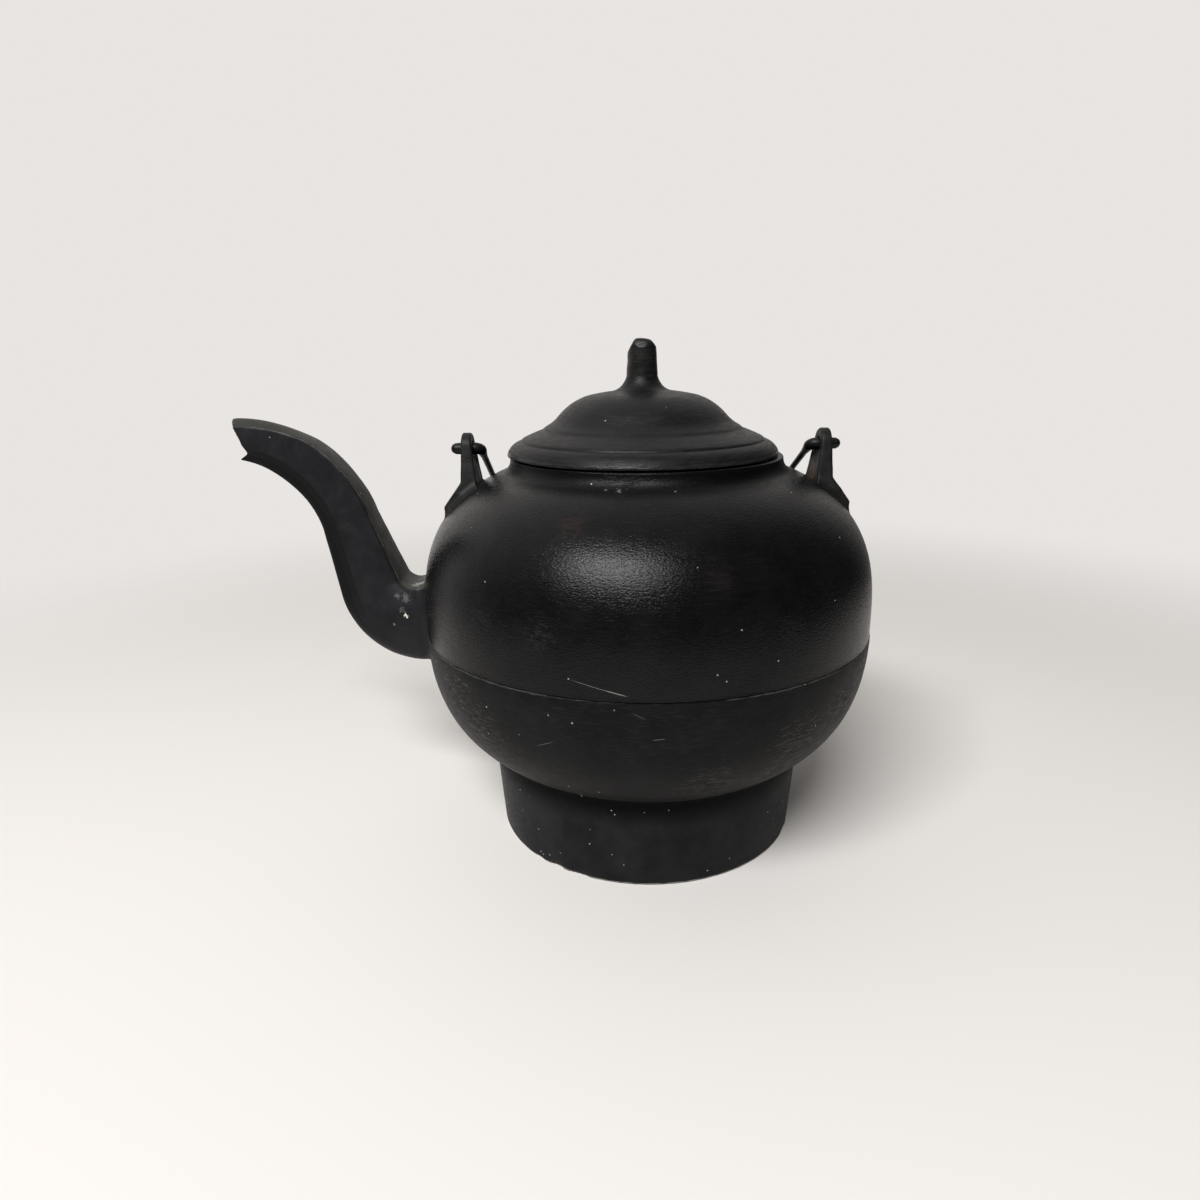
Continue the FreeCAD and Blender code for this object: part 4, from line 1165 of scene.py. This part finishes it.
# %% Spout
# Cast iron with a worn black film: greyer and duller than the belly, pale along its corners, with painted light on its
# strip and painted shade below the chine.
GOOSENECK_IRON = BLACK_IRON | {
    "film": "#17171A", "film_light": "#202023", "roughness": (0.42, 0.58), "streak_depth": 0.06,
    "streak_ratio": 1.0, "grain_depth": 0.05, "scar_depth": 0.04, "scar": 0.2, "bare": 0.4, "speck_share": 0.15,
    "painted_light_colour": "#3A3A36",
    "stains": (
        {"place": (-108.2, -14.9, 103.3), "radius": 1.3, "colour": "#E8E2D6", "strength": 0.95},
        {"place": (-112.0, -12.5, 112.0), "radius": 1.5, "colour": "#6A6A69", "strength": 0.6},
        {"place": (-107.9, -13.1, 111.2), "radius": 2.4, "colour": "#6A6A69", "strength": 0.6},
        {"place": (-109.9, -14.3, 106.0), "radius": 1.6, "colour": "#6A6A69", "strength": 0.5},
        {"place": (-113.9, -14.6, 99.5), "radius": 0.9, "colour": "#7C7C7A", "strength": 0.7},
        {"place": (-103.2, -6.3, 115.7), "radius": 3.6, "colour": "#9A9894", "strength": 0.8},
    ),
}
spout = recast("gooseneck_spout", "spout", quad_size=0.55, smoothing=5, rub=20)
dress_chine(spout)
fillet(spout, radius=3.0)
roughen(spout, size=9, depth=0.18, seed=12)
dressed(spout, "pot", "spout", iron_finish("worn_black_cast_iron", GOOSENECK_IRON), crease=180)

# %% [markdown]
# ## The ears
# Two lugs carry the bail. Each is a pierced plate with a rounded top, and a buttress that runs out down the
# shoulder. They were left rough on the side that faces the lid, so they get deeper pits than the belly.

# %% Ears
# Cast iron, roughly filed and blackened: coarse and pitted, with a rust tint at one root, and pale corners that are
# worn bare iron and, along the ridges, painted highlight.
LUG_IRON = BLACK_IRON | {
    "film": "#141414", "film_light": "#201F1E", "roughness": (0.42, 0.58), "streak_ratio": 1.0,
    "streak_depth": 0.12, "grain_depth": 0.08, "pit_spacing": 1.9, "pit_depth": 0.3, "patchy": 0.6,
    "stains": ({"place": (73.8, 0.0, 161.0), "radius": 7.0, "colour": "#5A3A28", "strength": 0.6},),
}
lug_iron = iron_finish("rough_filed_cast_iron", LUG_IRON)
for ear_node, ear_name, seed in (("ear_spout_side", "spout_side_lug", 13), ("ear_far_side", "far_side_lug", 14)):
    # painted highlight: the pale worn corners also stand for the light along the ears' ridges
    ear = recast(ear_name, ear_node, quad_size=0.4, smoothing=4, rub=9)
    fillet(ear, radius=3.2)
    roughen(ear, size=5, depth=0.25, seed=seed)
    dressed(ear, "pot", ear_node, lug_iron, crease=180)

# %% [markdown]
# ## The bail
# The handle is one length of iron wire, forged thicker at its ends and bent out through the ears. It is drawn
# as one Bezier curve with a round bevel, because each point of a curve carries its own thickness. The curve is
# drawn flat, then laid back to the angle at which the frame holds it.

# %% Bail sizes
bail_low, bail_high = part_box("bail")
PIVOT_HEIGHT = frame["joints"][1]["pos_m"][2] / MM
# radii of the wire, of its pins and of the bend between them, and where its legs are and end, in mm
WIRE = 1.35
PIN = 2.6
ELBOW = 2.6
LEG_REACH = 72.5
LEG_LENGTH = 42.0
PIN_END = bail_high.x / MM
fall = PIVOT_HEIGHT - bail_low.z / MM - WIRE
back = bail_high.y / MM - WIRE
FOLD = math.atan2(fall, back)
CROWN = math.hypot(fall, back)
print("bail folded", round(math.degrees(FOLD), 1), "degrees below level, reach", round(CROWN, 1), "mm")

# %% Wire route
# the handle length that makes a Bezier curve round, in shares of the radius
ROUND = 0.5523
arch = (CROWN - LEG_LENGTH) * ROUND
# place, direction of travel, handle lengths before and after, and radius of the wire, in mm
half_wire = [
    ((PIN_END, 0), (-1, 0), (0.2, 0.2), 0.9),
    ((PIN_END - 0.5, 0), (-1, 0), (0.2, 0.3), 1.7),
    ((PIN_END - 1.8, 0), (-1, 0), (0.4, 1.2), 2.4),
    ((PIN_END - 4.6, 0), (-1, 0), (1.2, 1.5), PIN),
    ((LEG_REACH + ELBOW, 0), (-1, 0), (1.5, ELBOW * ROUND), PIN),
    ((LEG_REACH, ELBOW), (0, 1), (ELBOW * ROUND, 1.5), PIN - 0.3),
    ((LEG_REACH, 11.0), (0, 1), (2.5, 8.0), WIRE + 0.1),
    ((LEG_REACH, LEG_LENGTH), (0, 1), (8.0, arch), WIRE),
]
crown_point = ((0, CROWN), (-1, 0), (LEG_REACH * ROUND, LEG_REACH * ROUND), WIRE)
other_half = [((-x, y), (dx, -dy), (after, before), thick)
              for (x, y), (dx, dy), (before, after), thick in half_wire[::-1]]
wire_points = half_wire + [crown_point] + other_half
print("wire route of", len(wire_points), "points")

# %% Bail
# Iron wire, forged and blackened: smooth and satin, with one thin highlight along it.
BLACK_WIRE = BLACK_IRON | {
    "film": "#0E0E0E", "film_light": "#151414", "gloss": 0.25, "roughness": (0.36, 0.5), "streak_ratio": 1.0,
    "grain_depth": 0.04, "pit_depth": 0.06, "scar_depth": 0.03,
}

curve = bpy.data.curves.new("wire_bail", "CURVE")
curve.dimensions = "3D"
curve.bevel_depth = MM
curve.bevel_resolution = 6
curve.resolution_u = 20
curve.use_fill_caps = True
spline = curve.splines.new("BEZIER")
spline.bezier_points.add(len(wire_points) - 1)
for point, (place, along, (before, after), thick) in zip(spline.bezier_points, wire_points):
    point.handle_left_type = point.handle_right_type = "FREE"
    point.co = Vector((*place, 0)) * MM
    point.handle_left = point.co - Vector((*along, 0)) * before * MM
    point.handle_right = point.co + Vector((*along, 0)) * after * MM
    point.radius = thick
drawn = bpy.data.objects.new("wire_route", curve)
bpy.context.scene.collection.objects.link(drawn)
graph = bpy.context.evaluated_depsgraph_get()
wire_mesh = bpy.data.meshes.new_from_object(drawn.evaluated_get(graph), depsgraph=graph)
bpy.data.objects.remove(drawn)
laid = Matrix.Translation((0, 0, PIVOT_HEIGHT * MM)) @ Matrix.Rotation(-FOLD, 4, "X")
wire_mesh.transform(laid)
bail = bpy.data.objects.new("wire_bail", wire_mesh)
bpy.context.scene.collection.objects.link(bail)
dressed(bail, "bail", "bail", iron_finish("blackened_iron_wire", BLACK_WIRE), crease=50)
